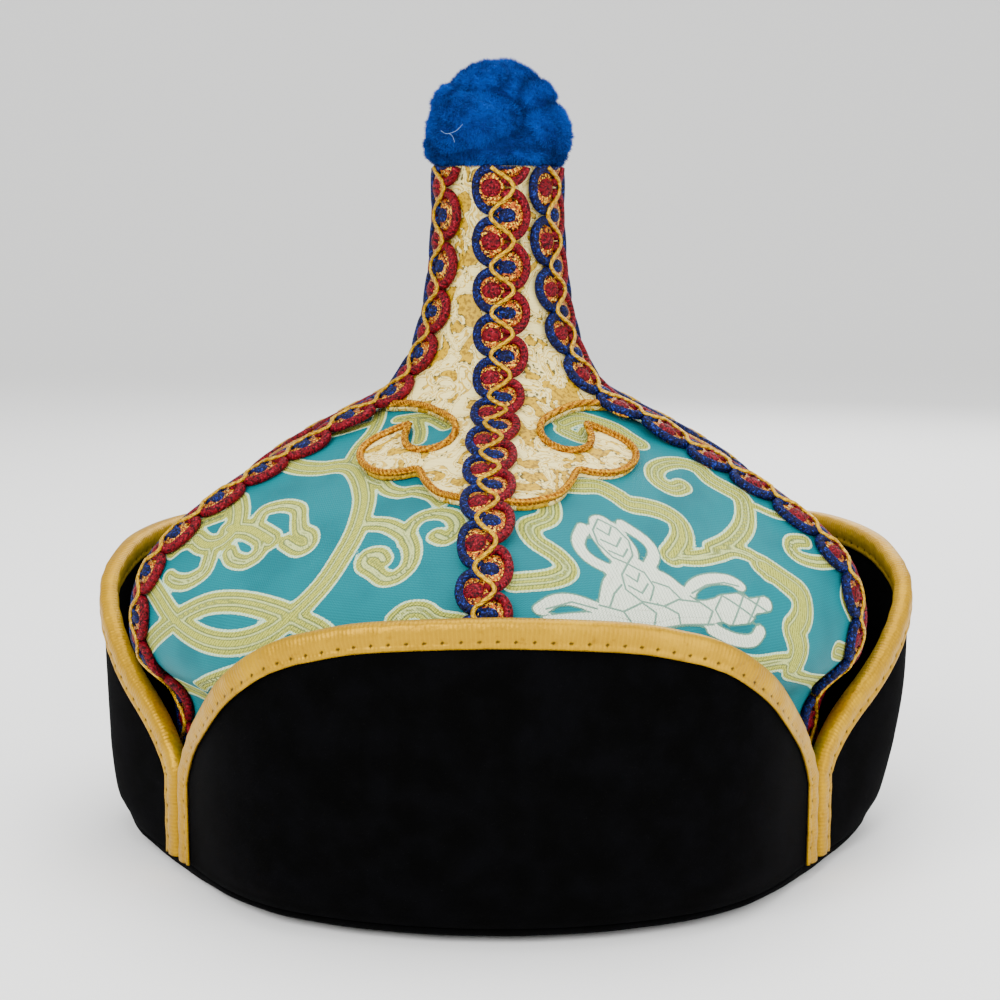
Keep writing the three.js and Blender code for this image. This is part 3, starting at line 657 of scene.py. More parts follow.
def plush_pile(look):
    """Knitted plush: a root layer in painted shade under bright fibre tips, with more painted shade in the
    folds of the knot.
    """
    def color(node):
        tip, crease = (node("Attribute", attribute_name=name, out="Fac") for name in ("tip", "crease"))
        # Painted shade: the skin and fibre roots are dark blue, and the creases darker still; the fibre tips
        # carry the plush colour.
        return layered(node, linear("#001A5A"),
                       (node("TexNoise", object_mm(node), 0.18, 3.0), 0.35, 0.65, 1, linear("#003488")),
                       (tip, 0, 1, 0.7, (*look.plush, 1)), (crease, 0.3, 1, 0.6, linear("#001248")))

    def height(node):
        return node("TexNoise", object_mm(node), 1.4, 3.0)

    return new_material("plush_pile", color, height, 0.3 * look.relief, Roughness=0.85,
                        Specular_IOR_Level=0.1, Sheen_Weight=0.2, Sheen_Roughness=0.45,
                        Sheen_Tint=linear("#3F8FEF"))


def pale_lint():
    """Bleached cotton fibre: near white and matt."""
    def color(node):
        grain = node("TexNoise", object_mm(node), 1.0)
        return node("Mix", grain, linear("#8FA8CC"), linear("#5F86BE"), **RGBA)

    def height(node):
        return node("TexNoise", object_mm(node), 4.0)

    return new_material("pale_lint", color, height, 0.05, Roughness=0.8)


def stroke_distance(points, strokes):
    """Distance in mm of flat points to the edge of the nearest stroke, negative inside."""
    edge = np.full(len(points), NOWHERE)
    for width, line in strokes:
        line = np.array(line, float)
        fine = spline(line, np.linspace(0, len(line) - 1, 5 * (len(line) - 1) + 1))
        for a, b in zip(fine[:-1], fine[1:]):
            near = np.flatnonzero((np.abs(points - (a + b) / 2) < 12).all(1))
            v, p = b - a, points[near] - a
            share = np.clip(p @ v / max(v @ v, 1e-9), 0, 1)
            edge[near] = np.minimum(edge[near], np.linalg.norm(p - share[:, None] * v, axis=1) - width / 2)
    return edge


CLASSES = []


def registered(cls):
    """Lists a class for register and unregister."""
    CLASSES.append(cls)
    return cls


def colour(name, description, code):
    """A colour setting with its default in sRGB hex."""
    return FloatVectorProperty(name=name, description=description, default=linear(code)[:3], subtype="COLOR",
                               size=3, min=0, max=1)


def length(name, description, millimetres):
    """A length setting with its default in millimetres."""
    return FloatProperty(name=name, description=description, default=millimetres * MM, unit="LENGTH", min=0)


@registered
class HatLook(bpy.types.PropertyGroup):
    """Sizes and colours of the cloth and trims."""

    relief: FloatProperty(name="Relief", description="Strength of weave and pile bump", default=1.0, min=0,
                          max=3)
    pile: length("Pile Length", "Length of the topknot's plush fibres", 1.3)
    fibres: IntProperty(name="Fibres", description="How many plush fibres the topknot carries", default=60000,
                        min=0)
    strand: length("Cloud Cord Strand", "Radius of one strand of the cloud cords", 0.56)
    gimp: length("Gimp Cord", "Radius of the braids' scalloped cords", 1.25)
    stitch: length("Stitch", "Length of a machine stitch on the bindings", 4.2)
    teal: colour("Teal", "Satin ground of the crown", "#006A72")
    olive: colour("Olive", "Silk of the crown's vines", "#AEB04A")
    ivory: colour("Ivory", "Silk of the crown's flower", "#DCE4D0")
    cream: colour("Cream", "Satin ground of the spire", "#E8D68C")
    leaf_gold: colour("Leaf Gold", "Leaves and lines of the spire's brocade", "#BC9400")
    cord_gold: colour("Cord Gold", "Twisted cord along the clouds", "#B87C00")
    navy: colour("Navy", "Navy cord of the braids", "#05093A")
    red: colour("Red", "Red cord of the braids", "#66000E")
    zigzag: colour("Zigzag", "Gold zigzag cord of the braids", "#C89A00")
    tinsel: colour("Tinsel", "Foil of the braids", "#FFC828")
    velvet: colour("Velvet", "Brim flaps and hem", "#020202")
    tape_gold: colour("Binding", "Satin binding of the flaps", "#A67C00")
    plush: colour("Plush", "Fibre tips of the topknot", "#0A5CC4")
    floor: colour("Floor", "Studio floor", "#F2F2F1")


@registered
class HAT_OT_crown(bpy.types.Operator):
    """Weaves the patterned crown cloth"""

    bl_idname = "dance_hat.crown"
    bl_label = "Crown"

    def execute(self, context):
        # Rows lie close where the pattern shows, and wide apart behind the brim and inside.
        around, dense, coarse, inner = 560, 132, 14, 24
        t_top, t_brim, t_foot = 4.6, 14.2, 17.0
        t_outer = np.concatenate([np.linspace(t_top, t_brim, dense),
                                  np.linspace(t_brim + 0.15, t_foot, coarse)])
        t_inner = np.linspace(t_foot, t_top, inner)
        g = np.arange(around) / around * GORES
        rows_t = np.concatenate([t_outer, t_inner])[:, None]
        depth = np.concatenate([np.zeros(len(t_outer)), np.full(inner, -CLOTH)])[:, None]
        grid_g, grid_t = np.broadcast_arrays(g[None], rows_t)
        lift = depth + crown_drape(grid_g, grid_t)
        verts = surface(grid_g, grid_t, lift).reshape(-1, 3)
        k = np.floor(grid_g).astype(int)
        across = ((grid_g - k - 0.5) * gore_width(k, grid_t)).ravel()
        down = (grid_t * REPEAT).ravel()
        outside = np.broadcast_to(depth == 0, grid_g.shape).ravel()
        even = (k % 2 == 0).ravel()
        flat = np.stack([across, down], -1)
        face = {name: np.full(len(flat), NOWHERE) for name in ("vine_edge", "bloom_edge")}
        scroll, flower = outside & ~even, outside & even
        face["vine_edge"][scroll] = stroke_distance(flat[scroll], SCROLL_VINE)
        face["vine_edge"][flower] = stroke_distance(flat[flower], FLOWER_VINE)
        face["bloom_edge"][flower] = stroke_distance(flat[flower], FLOWER_BLOOM)
        parts = Parts()
        faces = ring_faces(len(rows_t), around, wrap_rows=True)
        parts.add(verts, faces, cloth=np.stack([across, down, 0 * down], -1), **face)
        piece = parts.build("crown_cloth", [teal_satin_brocade(context.scene.hat_look)])
        dress(piece, "crown")
        return {"FINISHED"}


def cloud_half(count):
    """The half cloud outline as a smooth run of (bearing, radius)."""
    return spline(CLOUD, np.linspace(0, len(CLOUD) - 1, count))


def plan_to_surface(bearing, radius, lift):
    """Gore position and repeat of the surface point over a plan bearing and radius."""
    bearing = np.asarray(bearing, float)
    t = np.full(len(bearing), 6.0)
    # The seams swing as they come down, so gore and repeat are settled in turn; repeat is found by halving.
    for _ in range(12):
        k = np.full(len(bearing), -5)
        for step in range(-5, 8):
            k = np.where(seam_bearing(np.full(len(bearing), step), t) <= bearing, step, k)
        low, high = seam_bearing(k, t), seam_bearing(k + 1, t)
        g = k + (bearing - low) / (high - low)
        near, far = np.full(len(bearing), 2.0), np.full(len(bearing), 12.0)
        for _ in range(26):
            middle = (near + far) / 2
            reach = np.linalg.norm(surface(g, middle, lift)[:, :2], axis=1)
            near, far = np.where(reach < radius, middle, near), np.where(reach < radius, far, middle)
        t = near
    return g, t


@registered
class HAT_OT_spire(bpy.types.Operator):
    """Makes the spire with its cloud-shaped skirt"""

    bl_idname = "dance_hat.spire"
    bl_label = "Spire"

    def execute(self, context):
        around = 240
        g = np.arange(around) / around * GORES
        neck_wall, t_edge = 2, 8.8
        outer = np.concatenate([np.linspace(0, 4, 36), np.linspace(4.1, t_edge, 60)])
        under, hollow = np.linspace(t_edge, 4.5, 36), np.linspace(4.2, 0.12, 16)
        inner = np.concatenate([under, hollow])
        lifts = np.repeat([SKIRT_TOP, GAP, SKIRT_TOP - neck_wall], [len(outer), len(under), len(hollow)])
        grid_g, grid_t = np.broadcast_arrays(g[None], np.concatenate([outer, inner])[:, None])
        ripple = 0.3 * np.sin(2 * np.pi * grid_g + 2 * grid_t) * smooth_step(grid_t, 0, 2)
        lift = lifts[:, None] + np.minimum(ripple * (grid_t < 4), 0)
        verts = surface(grid_g, grid_t, lift)
        parts = Parts()
        parts.add(verts, capped_faces(len(outer) + len(inner), around))
        piece = parts.build("spire_cloth", [cream_brocade(context.scene.hat_look)])
        half = cloud_half(110)
        outline = []
        for cloud in range(CLOUD_COUNT):
            turn = cloud * 360 / CLOUD_COUNT
            outline += [(turn - a, r) for a, r in half[::-1][1:-1]] + [(turn + a, r) for a, r in half]
        bearing, radius = np.array(outline).T
        below, above = 60, 230
        prism = Parts()
        walls = [at_bearing(bearing, radius, z) for z in (below, above)]
        prism.add(np.concatenate(walls), capped_faces(2, len(outline)))
        cutter = prism.build("spire_cutter", [])
        cut = piece.modifiers.new("cloud edge", "BOOLEAN")
        cut.operation = "INTERSECT"
        cut.solver = "EXACT"
        cut.object = cutter
        apply_modifiers(piece)
        bpy.data.objects.remove(cutter)
        dress(piece, "spire")
        return {"FINISHED"}


def apply_modifiers(piece):
    """Bakes the modifiers of a piece into its mesh."""
    graph = bpy.context.evaluated_depsgraph_get()
    mesh = bpy.data.meshes.new_from_object(piece.evaluated_get(graph))
    piece.modifiers.clear()
    piece.data = mesh


@registered
class HAT_OT_cords(bpy.types.Operator):
    """Lays the twisted cords along the cloud edges"""

    bl_idname = "dance_hat.cords"
    bl_label = "Cloud Cords"

    def execute(self, context):
        look = context.scene.hat_look
        # 6A3400 is painted shade for the ply grooves, and #FFC810 a painted highlight.
        silk = wound_yarn(look, "twisted_rayon_cord", "#6A3400", look.cord_gold, "#FFC810", 1.6, 0.8, 0.4,
                          0.5, metallic=0.4, mottle=3.0)
        lift, strand, offset, strands, pitch = SKIRT_TOP + 0.6, look.strand / MM, 0.48, 3, 3.6
        from_seam, spacing = 3.2, 0.45
        for cloud in range(CLOUD_COUNT):
            for side in (1, -1):
                half = cloud_half(340)
                middle = cloud if side == 1 else cloud + 1
                g, t = plan_to_surface(middle * 360 / CLOUD_COUNT + side * half[:, 0], half[:, 1], lift)
                seam = np.round(g).astype(int)
                aside = np.abs(g - seam) * np.where(g < seam, gore_width(seam - 1, t), gore_width(seam, t))
                keep = aside > from_seam
                g, t = g[keep], t[keep]
                path = surface(g, t, lift)
                out = surface_normal(surface, g, t, np.full(len(g), lift))
                parts = Parts()
                step = run_length(path)
                even = np.linspace(0, step[-1], int(step[-1] / spacing))
                path, out = resampled(even, step, path), resampled(even, step, out)
                across = np.cross(unit(np.gradient(path, axis=0)), out)
                for s in range(strands):
                    angle = 2 * np.pi * (even / pitch + s / strands)
                    aside = out * np.cos(angle)[:, None] + across * np.sin(angle)[:, None]
                    centre = path + offset * aside
                    verts, faces, around, distance = tube(centre, out, strand, 7)
                    parts.add(verts, faces, angle=around, along=distance)
                number = 2 * cloud + (1 if side == 1 else 2)
                piece = parts.build(f"cloud_cord_{number}_twist", [silk])
                dress(piece, f"cloud_cord_{number}")
        return {"FINISHED"}


@registered
class HAT_OT_braids(bpy.types.Operator):
    """Winds the six gimp braids"""

    bl_idname = "dance_hat.braids"
    bl_label = "Gimp Braids"

    def execute(self, context):
        look = context.scene.hat_look
        # For each yarn the first hex colour is painted shade in the ply grooves, and the last a painted
        # highlight.
        yarns = [
            wound_yarn(look, "navy_chenille", "#010104", look.navy, "#2848C0", 1.5, 0.35, 0.6, 0.45),
            wound_yarn(look, "red_chenille", "#180002", look.red, "#C42040", 1.5, 0.35, 0.6, 0.45),
            wound_yarn(look, "gold_rat_tail_cord", "#8A5A00", look.zigzag, "#FFE040", 2.4, 0.5, 0.35, 0.4,
                       metallic=0.5, mottle=4.0),
            tinsel_thread(look),
        ]
        navy, red, gold, tinsel = range(4)
        arc_sweep, arc_points, zigzag_points, dot_points = 125, 27, 380, 10
        zigzag_swing, zigzag_lift, zigzag_radius = 2.4, 2.25, 0.62
        # Each dot: its shift along the repeat, its side, yarn, half width and height, then its tinsel disc.
        dots = [(0.0, -2.3, red, 2.8, 2.4, -2.5, 3.9, 4.5), (0.5, 1.35, navy, 2.5, 2.0, 2.1, 3.8, 4.3)]
        for k in range(GORES):
            parts = Parts()

            def lay(t, across, height, radius, sides, slot, squash=1.0):
                lift = braid_bed(k, t) + height
                path = beside_seam(k, across, t, lift)
                out = surface_normal(lambda a, b: beside_seam(k, a, b, lift), across, t)
                verts, faces, around, distance = tube(path, out, radius, sides, squash)
                parts.add(verts, faces, slot, angle=around, along=distance)

            bow = np.radians(np.linspace(-arc_sweep, arc_sweep, arc_points))
            # The scalloped cords: navy arcs on one side of the seam, and red half a repeat on at the other.
            for side, slot, phase in ((-1, navy, DOT_PHASE), (1, red, DOT_PHASE + 0.5)):
                for i in range(-2, int(BRAID_END) + 1):
                    run = i + phase + ARC_REACH / REPEAT * np.sin(bow)
                    inside = (run > BRAID_START) & (run < BRAID_END)
                    if inside.sum() > 3:
                        across = side * (ARC_FROM_SEAM + ARC_WIDTH * np.cos(bow[inside]))
                        height = 1.2 - 0.3 * (bow[inside] / bow[-1]) ** 2
                        lay(run[inside], across, height, look.gimp / MM, 8, slot)
            t = np.linspace(BRAID_START, BRAID_END, zigzag_points)
            beat = 2 * np.pi * (t - DOT_PHASE)
            lay(t, 0.1 + zigzag_swing * np.cos(beat), zigzag_lift, zigzag_radius, 6, gold, 0.8)
            for i in range(-1, int(BRAID_END) + 1):
                for shift, across, slot, wide, tall, disc_across, disc_wide, disc_tall in dots:
                    middle = i + DOT_PHASE + shift
                    if not BRAID_START - 0.1 < middle < BRAID_END:
                        continue
                    # The flat tinsel disc lies low, and the wound dot sits on it.
                    rounds = ((tinsel, disc_across, disc_wide, disc_tall, 0.5, 0.32),
                              (slot, across, wide, tall, 1.0, 0.5))
                    for part, place, half, reach, height, squash in rounds:
                        turn = np.linspace(0, np.pi, dot_points)
                        run = middle + reach / REPEAT * np.cos(turn)
                        inside = (run > BRAID_START / 2) & (run < BRAID_END)
                        run, turn = run[inside], turn[inside]
                        girth = half * np.sin(turn) ** 0.75 + 0.02
                        lay(run, np.full(len(turn), place), height, girth, 12, part, squash)
            piece = parts.build(f"braid_{k + 1}_gimp", yarns)
            dress(piece, f"braid_{k + 1}")
        return {"FINISHED"}


def flap_radius(swell, a, z):
    """Outer radius of a flap at a bearing from its middle and a height."""
    row = np.interp(z, FLAP_PROFILE[:, 0], np.arange(len(FLAP_PROFILE)))
    middle = spline(FLAP_PROFILE, row)[..., 1] + swell * smooth_step(z, *SWELL_ROWS)
    share = smooth_step(np.abs(a), FLAP_TUCK_FROM, NOTCH_BEARING)
    return middle * (1 - share) + FLAP_NOTCH_RADIUS * share


def flap_point(side, a, z, depth):
    """Point of a flap's wall, depth millimetres in from its outer face, and the outward normal."""
    a, z = np.broadcast_arrays(np.asarray(a, float), np.asarray(z, float))
    turn, swell = FLAPS[side]

    def face(b, h):
        return at_bearing(turn + b, flap_radius(swell, b, h), h)

    across = face(a + 0.5, z) - face(a - 0.5, z)
    up = face(a, z + 0.5) - face(a, z - 0.5)
    normal = unit(np.cross(across, up))
    return face(a, z) - normal * np.asarray(depth, float)[..., None], normal


def velvet_top(a):
    """Height of the velvet's own edge under its binding."""
    row = np.interp(np.abs(a), FLAP_EDGE[:, 0], np.arange(len(FLAP_EDGE)))
    return spline(FLAP_EDGE, row)[..., 1] - EDGE_MARGIN


@registered
class HAT_OT_flaps(bpy.types.Operator):
    """Shapes the velvet brim flaps"""

    bl_idname = "dance_hat.flaps"
    bl_label = "Brim Flaps"

    def execute(self, context):
        velvet = cotton_velvet(context.scene.hat_look)
        columns, rows, under_fold, skin = 150, 34, 0.4, 0.1
        a = np.linspace(-1, 1, columns) * FLAP_EDGE[-1, 0]
        share = np.linspace(0, 1, rows)
        for side, (turn, _) in FLAPS.items():
            z = FLAP_FOOT + (velvet_top(a)[:, None] - under_fold - FLAP_FOOT) * share[None]
            grid = np.broadcast_to(a[:, None], z.shape)
            wobble = 0.21 * np.sin(grid / 9 + turn) * np.sin(z / 14)
            wobble *= 1 - smooth_step(np.abs(grid), 40, 56)
            outer, _ = flap_point(side, grid, z, skin - wobble)
            inner, _ = flap_point(side, grid, z, FLAP_WALL - skin + 0 * z)
            loops = np.concatenate([outer, inner[:, ::-1]], 1)
            faces = ring_faces(columns, 2 * rows).tolist()
            for column in (0, columns - 1):
                first = column * 2 * rows
                last = first + 2 * rows - 1
                faces += [(first + j, first + j + 1, last - 1 - j, last - j) for j in range(rows - 1)]
            parts = Parts()
            parts.add(loops, faces)
            piece = parts.build(f"brim_flap_{side}_velvet", [velvet])
            dress(piece, f"brim_flap_{side}")
        return {"FINISHED"}


def flap_rim(count):
    """Path of a flap's free edge from foot to foot, as (bearing, height) at even spacing."""
    reach = FLAP_EDGE[-1, 0]
    top = velvet_top(reach)
    up = [(-reach, z) for z in np.linspace(FLAP_FOOT, top - 2, 8)]
    over = [(a, velvet_top(a)) for a in np.linspace(-reach, reach, 61)]
    line = np.array(up + over + [(-a, z) for a, z in reversed(up)])
    points, _ = flap_point("front", line[:, 0], line[:, 1], np.full(len(line), FLAP_WALL / 2))
    step = run_length(points)
    even = np.linspace(0, step[-1], count)
    path = resampled(even, step, line)
    for _ in range(6):
        path[1:-1] = (path[:-2] + 2 * path[1:-1] + path[2:]) / 4
    return path, even


@registered
class HAT_OT_bindings(bpy.types.Operator):
    """Folds the satin bindings over the flap edges and stitches them"""

    bl_idname = "dance_hat.bindings"
    bl_label = "Flap Bindings"

    def execute(self, context):
        look = context.scene.hat_look
        satin, stitch_pitch = satin_bias_tape(look), look.stitch / MM
        width, stitch_at, near, far = 5.7, -4.15, FLAP_WALL / 2 + 0.25, FLAP_WALL / 2 + 1.15
        hole_size, groove_size, puff_pitch = 0.5, 0.8, 7.7
        # Half of the folded tape's section: [towards the edge, off the flap's middle].
        outer = [(-width, near), (-width - 0.1, far - 0.35), (-width + 0.5, far - 0.05), (-width + 1.1, far),
                 (stitch_at, far - 0.1), (-3.6, far), (-2.8, far + 0.12), (-1.6, far + 0.18),
                 (-0.2, far + 0.02), (0.75, far - 0.5)]
        section = outer + [(EDGE_MARGIN, 0.0)] + [(o, -n) for o, n in reversed(outer)]
        section = np.array(section + [(GAP, -near), (GAP, near)])
        on_face = np.abs(section[:, 1]) > near + 0.1
        for side in FLAPS:
            path, even = flap_rim(560)
            points, normal = flap_point(side, path[:, 0], path[:, 1], np.full(len(path), FLAP_WALL / 2))
            out = np.cross(normal, unit(np.gradient(points, axis=0)))
            from_hole = np.abs(np.mod(even + stitch_pitch / 2, stitch_pitch) - stitch_pitch / 2)
            across_hole = np.exp(-((section[:, 0] - stitch_at) / hole_size) ** 2) * on_face
            needle = np.exp(-((from_hole / hole_size) ** 2))[:, None] * across_hole[None]
            groove = np.exp(-((section[:, 0] - stitch_at) / groove_size) ** 2) * on_face
            full = np.abs(section[:, 1]) > far - 0.2
            puff = 0.1 * np.sin(2 * np.pi * even / puff_pitch)[:, None] * full[None]
            height = section[:, 1] + (puff - 0.16 * groove - 0.3 * needle) * np.sign(section[:, 1])
            verts = points[:, None] + out[:, None] * section[:, :1] + normal[:, None] * height[..., None]
            parts = Parts()
            # needle also sets where the satin gets its painted shade in the holes.
            parts.add(verts, capped_faces(len(path), len(section)), along=np.repeat(even, len(section)),
                      needle=needle)
            piece = parts.build(f"flap_binding_{side}_satin", [satin])
            dress(piece, f"flap_binding_{side}")
        return {"FINISHED"}


@registered
class HAT_OT_hem(bpy.types.Operator):
    """Rolls the black hem band"""

    bl_idname = "dance_hat.hem"
    bl_label = "Hem Band"

    def execute(self, context):
        # The band's section: [radius, height], or in roll the share of the way out to the flaps' foot.
        inner = [(87.9, 0.8), (88.6, 0.12), (90, 0), (92.8, 0)]
        roll = [(0.22, 0.22), (0.5, 0.75), (0.75, 1.6), (0.93, 2.7), (1.0, 3.6), (0.97, 4.15)]
        around = 288
        bearing = np.arange(around) / around * 360
        from_flap = np.mod(bearing + NOTCH_BEARING, 2 * NOTCH_BEARING) - NOTCH_BEARING
        reach = flap_radius(0, from_flap, np.full(around, FLAP_FOOT)) - HEM_TUCK
        reach += 0.12 * np.sin(np.radians(bearing) * 31)
        section = inner + roll + [(92, 4.2), (88, 4.2), (87.7, 2.6)]
        r = np.stack([inner[-1][0] + (reach - inner[-1][0]) * v if v <= 1 else np.full(around, v)
                      for v, _ in section], -1)
        z = np.broadcast_to([height for _, height in section], r.shape)
        parts = Parts()
        parts.add(at_bearing(bearing[:, None], r, z), ring_faces(around, len(section), wrap_rows=True))
        piece = parts.build("hem_band_velvet", [bpy.data.materials["cotton_velvet"]])
        dress(piece, "hem_band")
        return {"FINISHED"}


# Folds of the knotted plush strip: middle, half axes and turn about y of each rounded fold.
KNOT_FOLDS = [
    ((-5.6, -6, 192.8), (14.0, 13, 11.2), 0),
    ((11.7, -1, 191.5), (8.4, 13.5, 10.8), 0),
    ((-14.9, 0, 189.2), (5.4, 12, 6.2), 0),
    ((-10.8, 1, 198), (7.6, 11, 8.6), -18),
    ((-0.4, 2, 200.8), (14.2, 12, 11.7), 0),
    ((-3.6, -2.5, 205.6), (8.6, 8.5, 5.6), -10),
    ((9.2, -1, 200.3), (6.9, 9.5, 7.4), 40),
    ((0, 9.5, 192.5), (16, 9, 11), 0),
    ((0, 0, 188), (18.4, 17.4, 9), 0),
    ((0, 0, 186.4), (19.3, 18.6, 6.2), 0),
]
KNOT_FLOOR = 183.3  # height at which the knot sits flat on the neck
# A stray pale hair caught in the pile, as (x, z) on its front.
LINT = [[(-15.1, 192.7), (-13.8, 191.9), (-12.5, 192.0), (-10.8, 192.7), (-9.3, 194.3)],
        [(-13.0, 192.0), (-12.0, 191.2), (-11.4, 189.6)]]


def fold_fields(points):
    """Rough distance in mm from points to each fold of the knot, negative inside."""
    fields = []
    for middle, axes, turn in KNOT_FOLDS:
        p = points - middle
        c, s = math.cos(math.radians(turn)), math.sin(math.radians(turn))
        local = np.stack([c * p[:, 0] - s * p[:, 2], p[:, 1], s * p[:, 0] + c * p[:, 2]], -1) / axes
        reach = np.linalg.norm(local, axis=1)
        slope = np.linalg.norm(local / axes, axis=1) / np.maximum(reach, 1e-6)
        fields.append((reach - 1) / np.maximum(slope, 1e-6))
    return np.sort(np.stack(fields, -1), axis=1)


@registered
class HAT_OT_topknot(bpy.types.Operator):
    """Ties the plush topknot and raises its pile"""

    bl_idname = "dance_hat.topknot"
    bl_label = "Topknot"

    def execute(self, context):
        look = context.scene.hat_look
        half_blade, half_lint, lint_depth = 0.085, 0.045, 0.9
        body, coords, normals = self.fuse_folds()
        # crease pulls the skin in at the folds and also sets the plush's painted shade there.
        crease = np.exp(-np.maximum(fold_fields(coords)[:, 1], 0) / 1.3)
        lumps = (0.3 * np.sin(coords[:, 0] * 1.1 + coords[:, 2] * 0.7) * np.sin(coords[:, 1] * 0.9 + 1)
                 + 0.15 * np.sin(coords[:, 2] * 2.1 + coords[:, 0]))
        coords = coords + normals * (lumps - 0.5 - 0.4 * crease)[:, None]
        coords[:, 2] = np.maximum(coords[:, 2], KNOT_FLOOR)
        parts = Parts()
        polygons = [tuple(p.vertices) for p in body.polygons]
        # The skin gets tip 0, so it shows the dark painted shade under the pile.
        parts.add(coords, polygons, tip=np.zeros(len(coords)), crease=crease)
        chance = np.random.default_rng(7)
        chosen = chance.integers(0, len(polygons), look.fibres)
        corners = np.array([p[:3] for p in polygons])[chosen]
        weights = chance.dirichlet((1, 1, 1), look.fibres)
        root = np.einsum("ij,ijk->ik", weights, coords[corners])
        grow = np.einsum("ij,ijk->ik", weights, normals[corners])
        fold = np.repeat(np.einsum("ij,ij->i", weights, crease[corners]), 3)
        x, y, z = root.T
        nap = [np.sin(z * 0.5 + x * 0.3), np.cos(x * 0.4 + y * 0.3), -0.6 + 0.5 * np.sin(y * 0.5)]
        grow = unit(grow + 0.45 * np.stack(nap, -1) + chance.normal(0, 0.28, grow.shape))
        length = look.pile / MM * chance.uniform(0.55, 1.15, look.fibres)[:, None]
        side = unit(np.cross(grow, chance.normal(0, 1, grow.shape))) * half_blade
        blades = np.stack([root - side, root + side, root + grow * length], 1).reshape(-1, 3)
        blades[:, 2] = np.maximum(blades[:, 2], KNOT_FLOOR - 0.6)
        # Painted shade: each blade darkens from its tip to its root, and its tip is brighter or darker at
        # random.
        tips = np.tile([0.1, 0.1, 1.0], look.fibres) * np.repeat(chance.uniform(0.4, 1, look.fibres), 3)
        parts.add(blades, np.arange(3 * look.fibres).reshape(-1, 3), tip=tips, crease=fold)
        for hair in LINT:
            x, z = spline(hair, np.linspace(0, len(hair) - 1, 16)).T
            depth = np.linspace(-24, 0, 241)
            probe = np.stack(np.broadcast_arrays(x[:, None], depth[None], z[:, None]), -1)
            near = fold_fields(probe.reshape(-1, 3))[:, 0].reshape(probe.shape[:2]) < lint_depth
            path = np.stack([x, depth[near.argmax(1)], z], -1)
            verts, faces, _, _ = tube(path, np.tile([0.0, -1, 0], (len(x), 1)), half_lint, 5)
            parts.add(verts, faces, 1)
        piece = parts.build("topknot_plush", [plush_pile(look), pale_lint()], closed=False)
        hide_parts("topknot")
        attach(piece, "root")
        return {"FINISHED"}

    def fuse_folds(self):
        """One skin over all folds, with its points in millimetres and their normals."""
        parts = Parts()
        rows, sides = 16, 28
        for middle, axes, turn in KNOT_FOLDS:
            polar = np.linspace(0.02, np.pi - 0.02, rows)[:, None]
            angle = np.arange(sides)[None] / sides * 2 * np.pi
            flat, tall = np.sin(polar), np.cos(polar)
            ball = np.broadcast_arrays(flat * np.cos(angle), flat * np.sin(angle), tall)
            ball = np.stack(ball, -1) * axes
            c, s = math.cos(math.radians(turn)), math.sin(math.radians(turn))
            x, z = c * ball[..., 0] + s * ball[..., 2], -s * ball[..., 0] + c * ball[..., 2]
            parts.add(np.stack([x, ball[..., 1], z], -1) + middle, capped_faces(rows, sides))
        knot = parts.build("topknot_core", [])
        fuse = knot.modifiers.new("fuse", "REMESH")
        fuse.mode = "VOXEL"
        fuse.voxel_size = 0.5 * MM
        soften = knot.modifiers.new("soften", "SMOOTH")
        soften.factor = 0.5
        soften.iterations = 10
        apply_modifiers(knot)
        body = knot.data
        coords = np.empty(len(body.vertices) * 3)
        body.vertices.foreach_get("co", coords)
        normals = np.array([v.normal[:] for v in body.vertices])
        bpy.data.objects.remove(knot)
        return body, coords.reshape(-1, 3) / MM, normals


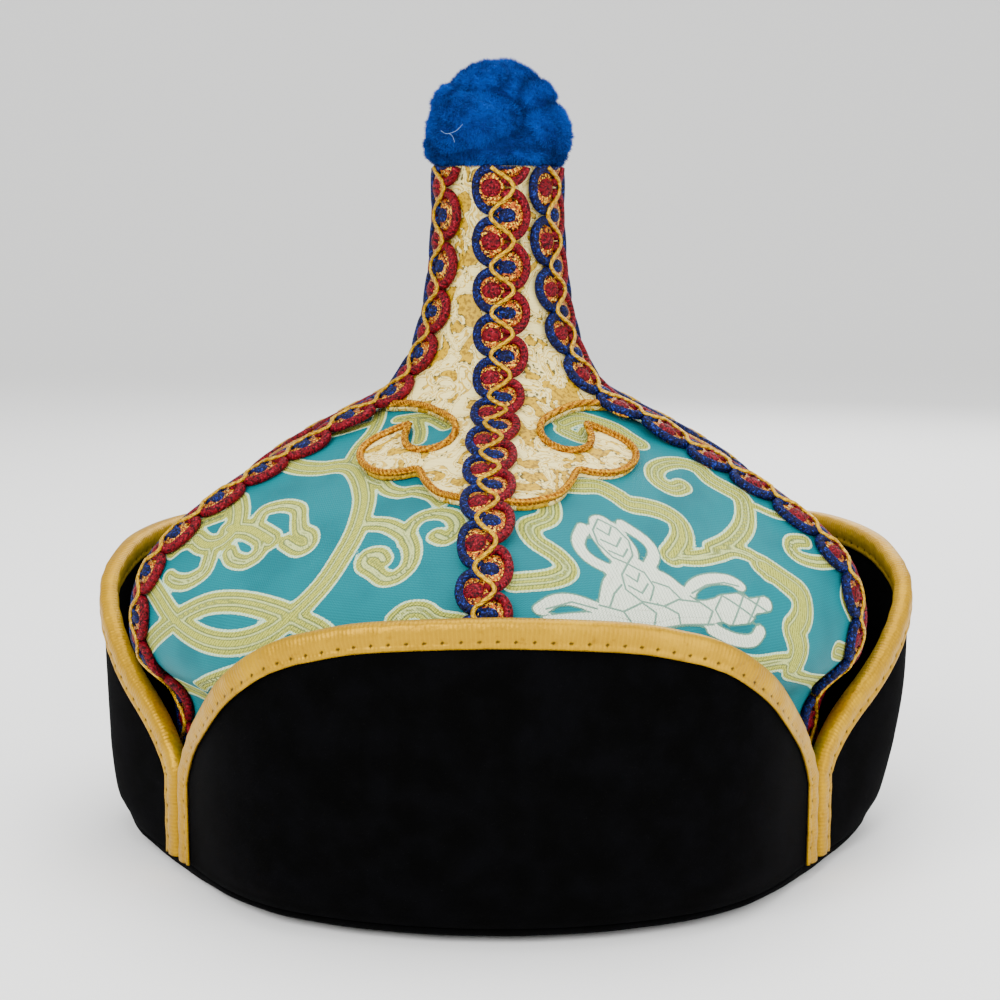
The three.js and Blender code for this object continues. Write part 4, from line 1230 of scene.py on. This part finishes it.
@registered
class HAT_OT_stage(bpy.types.Operator):
    """Sets the floor, the soft lights and the camera"""

    bl_idname = "dance_hat.stage"
    bl_label = "Stage"

    def execute(self, context):
        scene = context.scene
        floor_mesh = bpy.data.meshes.new("studio_floor")
        # Metres: the paper lies flat, bends up behind the hat and stands as a wall.
        half_width, bend_from, bend, wall = 6.0, 1.6, 1.2, 5.0
        turn = np.linspace(0, math.pi / 2, 24)
        profile = [(-half_width, 0), *zip(bend_from + bend * np.sin(turn), bend * (1 - np.cos(turn))),
                   (bend_from + bend, wall)]
        verts = [(x, y, z) for y, z in profile for x in (-half_width, half_width)]
        floor_mesh.from_pydata(verts, [], ring_faces(len(profile), 2, wrap_columns=False).tolist())
        floor_mesh.polygons.foreach_set("use_smooth", [True] * len(floor_mesh.polygons))
        floor = bpy.data.objects.new("studio_floor", floor_mesh)
        scene.collection.objects.link(floor)
        paper = bpy.data.materials.new("matt_backdrop_paper")
        paper.use_nodes = True
        shader = paper.node_tree.nodes["Principled BSDF"]
        shader.inputs["Base Color"].default_value = (*scene.hat_look.floor, 1)
        shader.inputs["Roughness"].default_value = 0.9
        floor_mesh.materials.append(paper)
        world = bpy.data.worlds.new("studio_air")
        world.use_nodes = True
        world.node_tree.nodes["Background"].inputs["Color"].default_value = (1.0, 1.0, 1.0, 1)
        world.node_tree.nodes["Background"].inputs["Strength"].default_value = 1.2
        scene.world = world
        # Each softbox: its place and side in metres, and its power in watts.
        lamps = [
            ("key_softbox", (-0.55, -0.95, 0.75), 0.8, 18.0),
            ("fill_softbox", (0.8, -0.75, 0.45), 0.9, 10.0),
            ("top_softbox", (0.1, 0.1, 1.1), 0.9, 11.0),
            ("back_softbox", (0.3, 0.95, 0.6), 0.7, 6.0),
        ]
        target = Vector((0, 0, 0.09))
        for name, place, size, power in lamps:
            data = bpy.data.lights.new(name, "AREA")
            data.size = size
            data.energy = power
            lamp = bpy.data.objects.new(name, data)
            lamp.location = place
            lamp.rotation_euler = (target - lamp.location).to_track_quat("-Z", "Y").to_euler()
            scene.collection.objects.link(lamp)
        # The camera solved from the photo: metres away, tilt, height aimed at, focal length and axis in px.
        distance, rise, aim_height = 0.6, math.radians(8), 0.092
        focal_px, axis_px, picture = 2160, 498, 1000
        data = bpy.data.cameras.new("photo_camera")
        data.sensor_width = 36
        data.lens = focal_px / picture * data.sensor_width
        data.shift_x = (picture / 2 - axis_px) / picture
        camera = bpy.data.objects.new("photo_camera", data)
        camera.location = (0, -distance * math.cos(rise), aim_height + distance * math.sin(rise))
        camera.rotation_euler = (math.pi / 2 - rise, 0, 0)
        scene.collection.objects.link(camera)
        scene.camera = camera
        return {"FINISHED"}


@registered
class HAT_PT_panel(bpy.types.Panel):
    """Sidebar panel with the hat's sizes and makers"""

    bl_idname = "HAT_PT_panel"
    bl_label = "Dance Hat"
    bl_space_type = "VIEW_3D"
    bl_region_type = "UI"
    bl_category = "Dance Hat"

    def draw(self, context):
        look = context.scene.hat_look
        for name in HatLook.__annotations__:
            self.layout.prop(look, name)
        for name in MAKERS:
            self.layout.operator(f"dance_hat.{name}")


MAKERS = ["stage", "crown", "spire", "cords", "braids", "flaps", "bindings", "hem", "topknot"]


def register():
    for cls in CLASSES:
        bpy.utils.register_class(cls)
    bpy.types.Scene.hat_look = PointerProperty(type=HatLook)


def unregister():
    del bpy.types.Scene.hat_look
    for cls in reversed(CLASSES):
        bpy.utils.unregister_class(cls)


def main():
    register()
    for name in MAKERS:
        getattr(bpy.ops.dance_hat, name)()


if __name__ == "__main__":
    main()
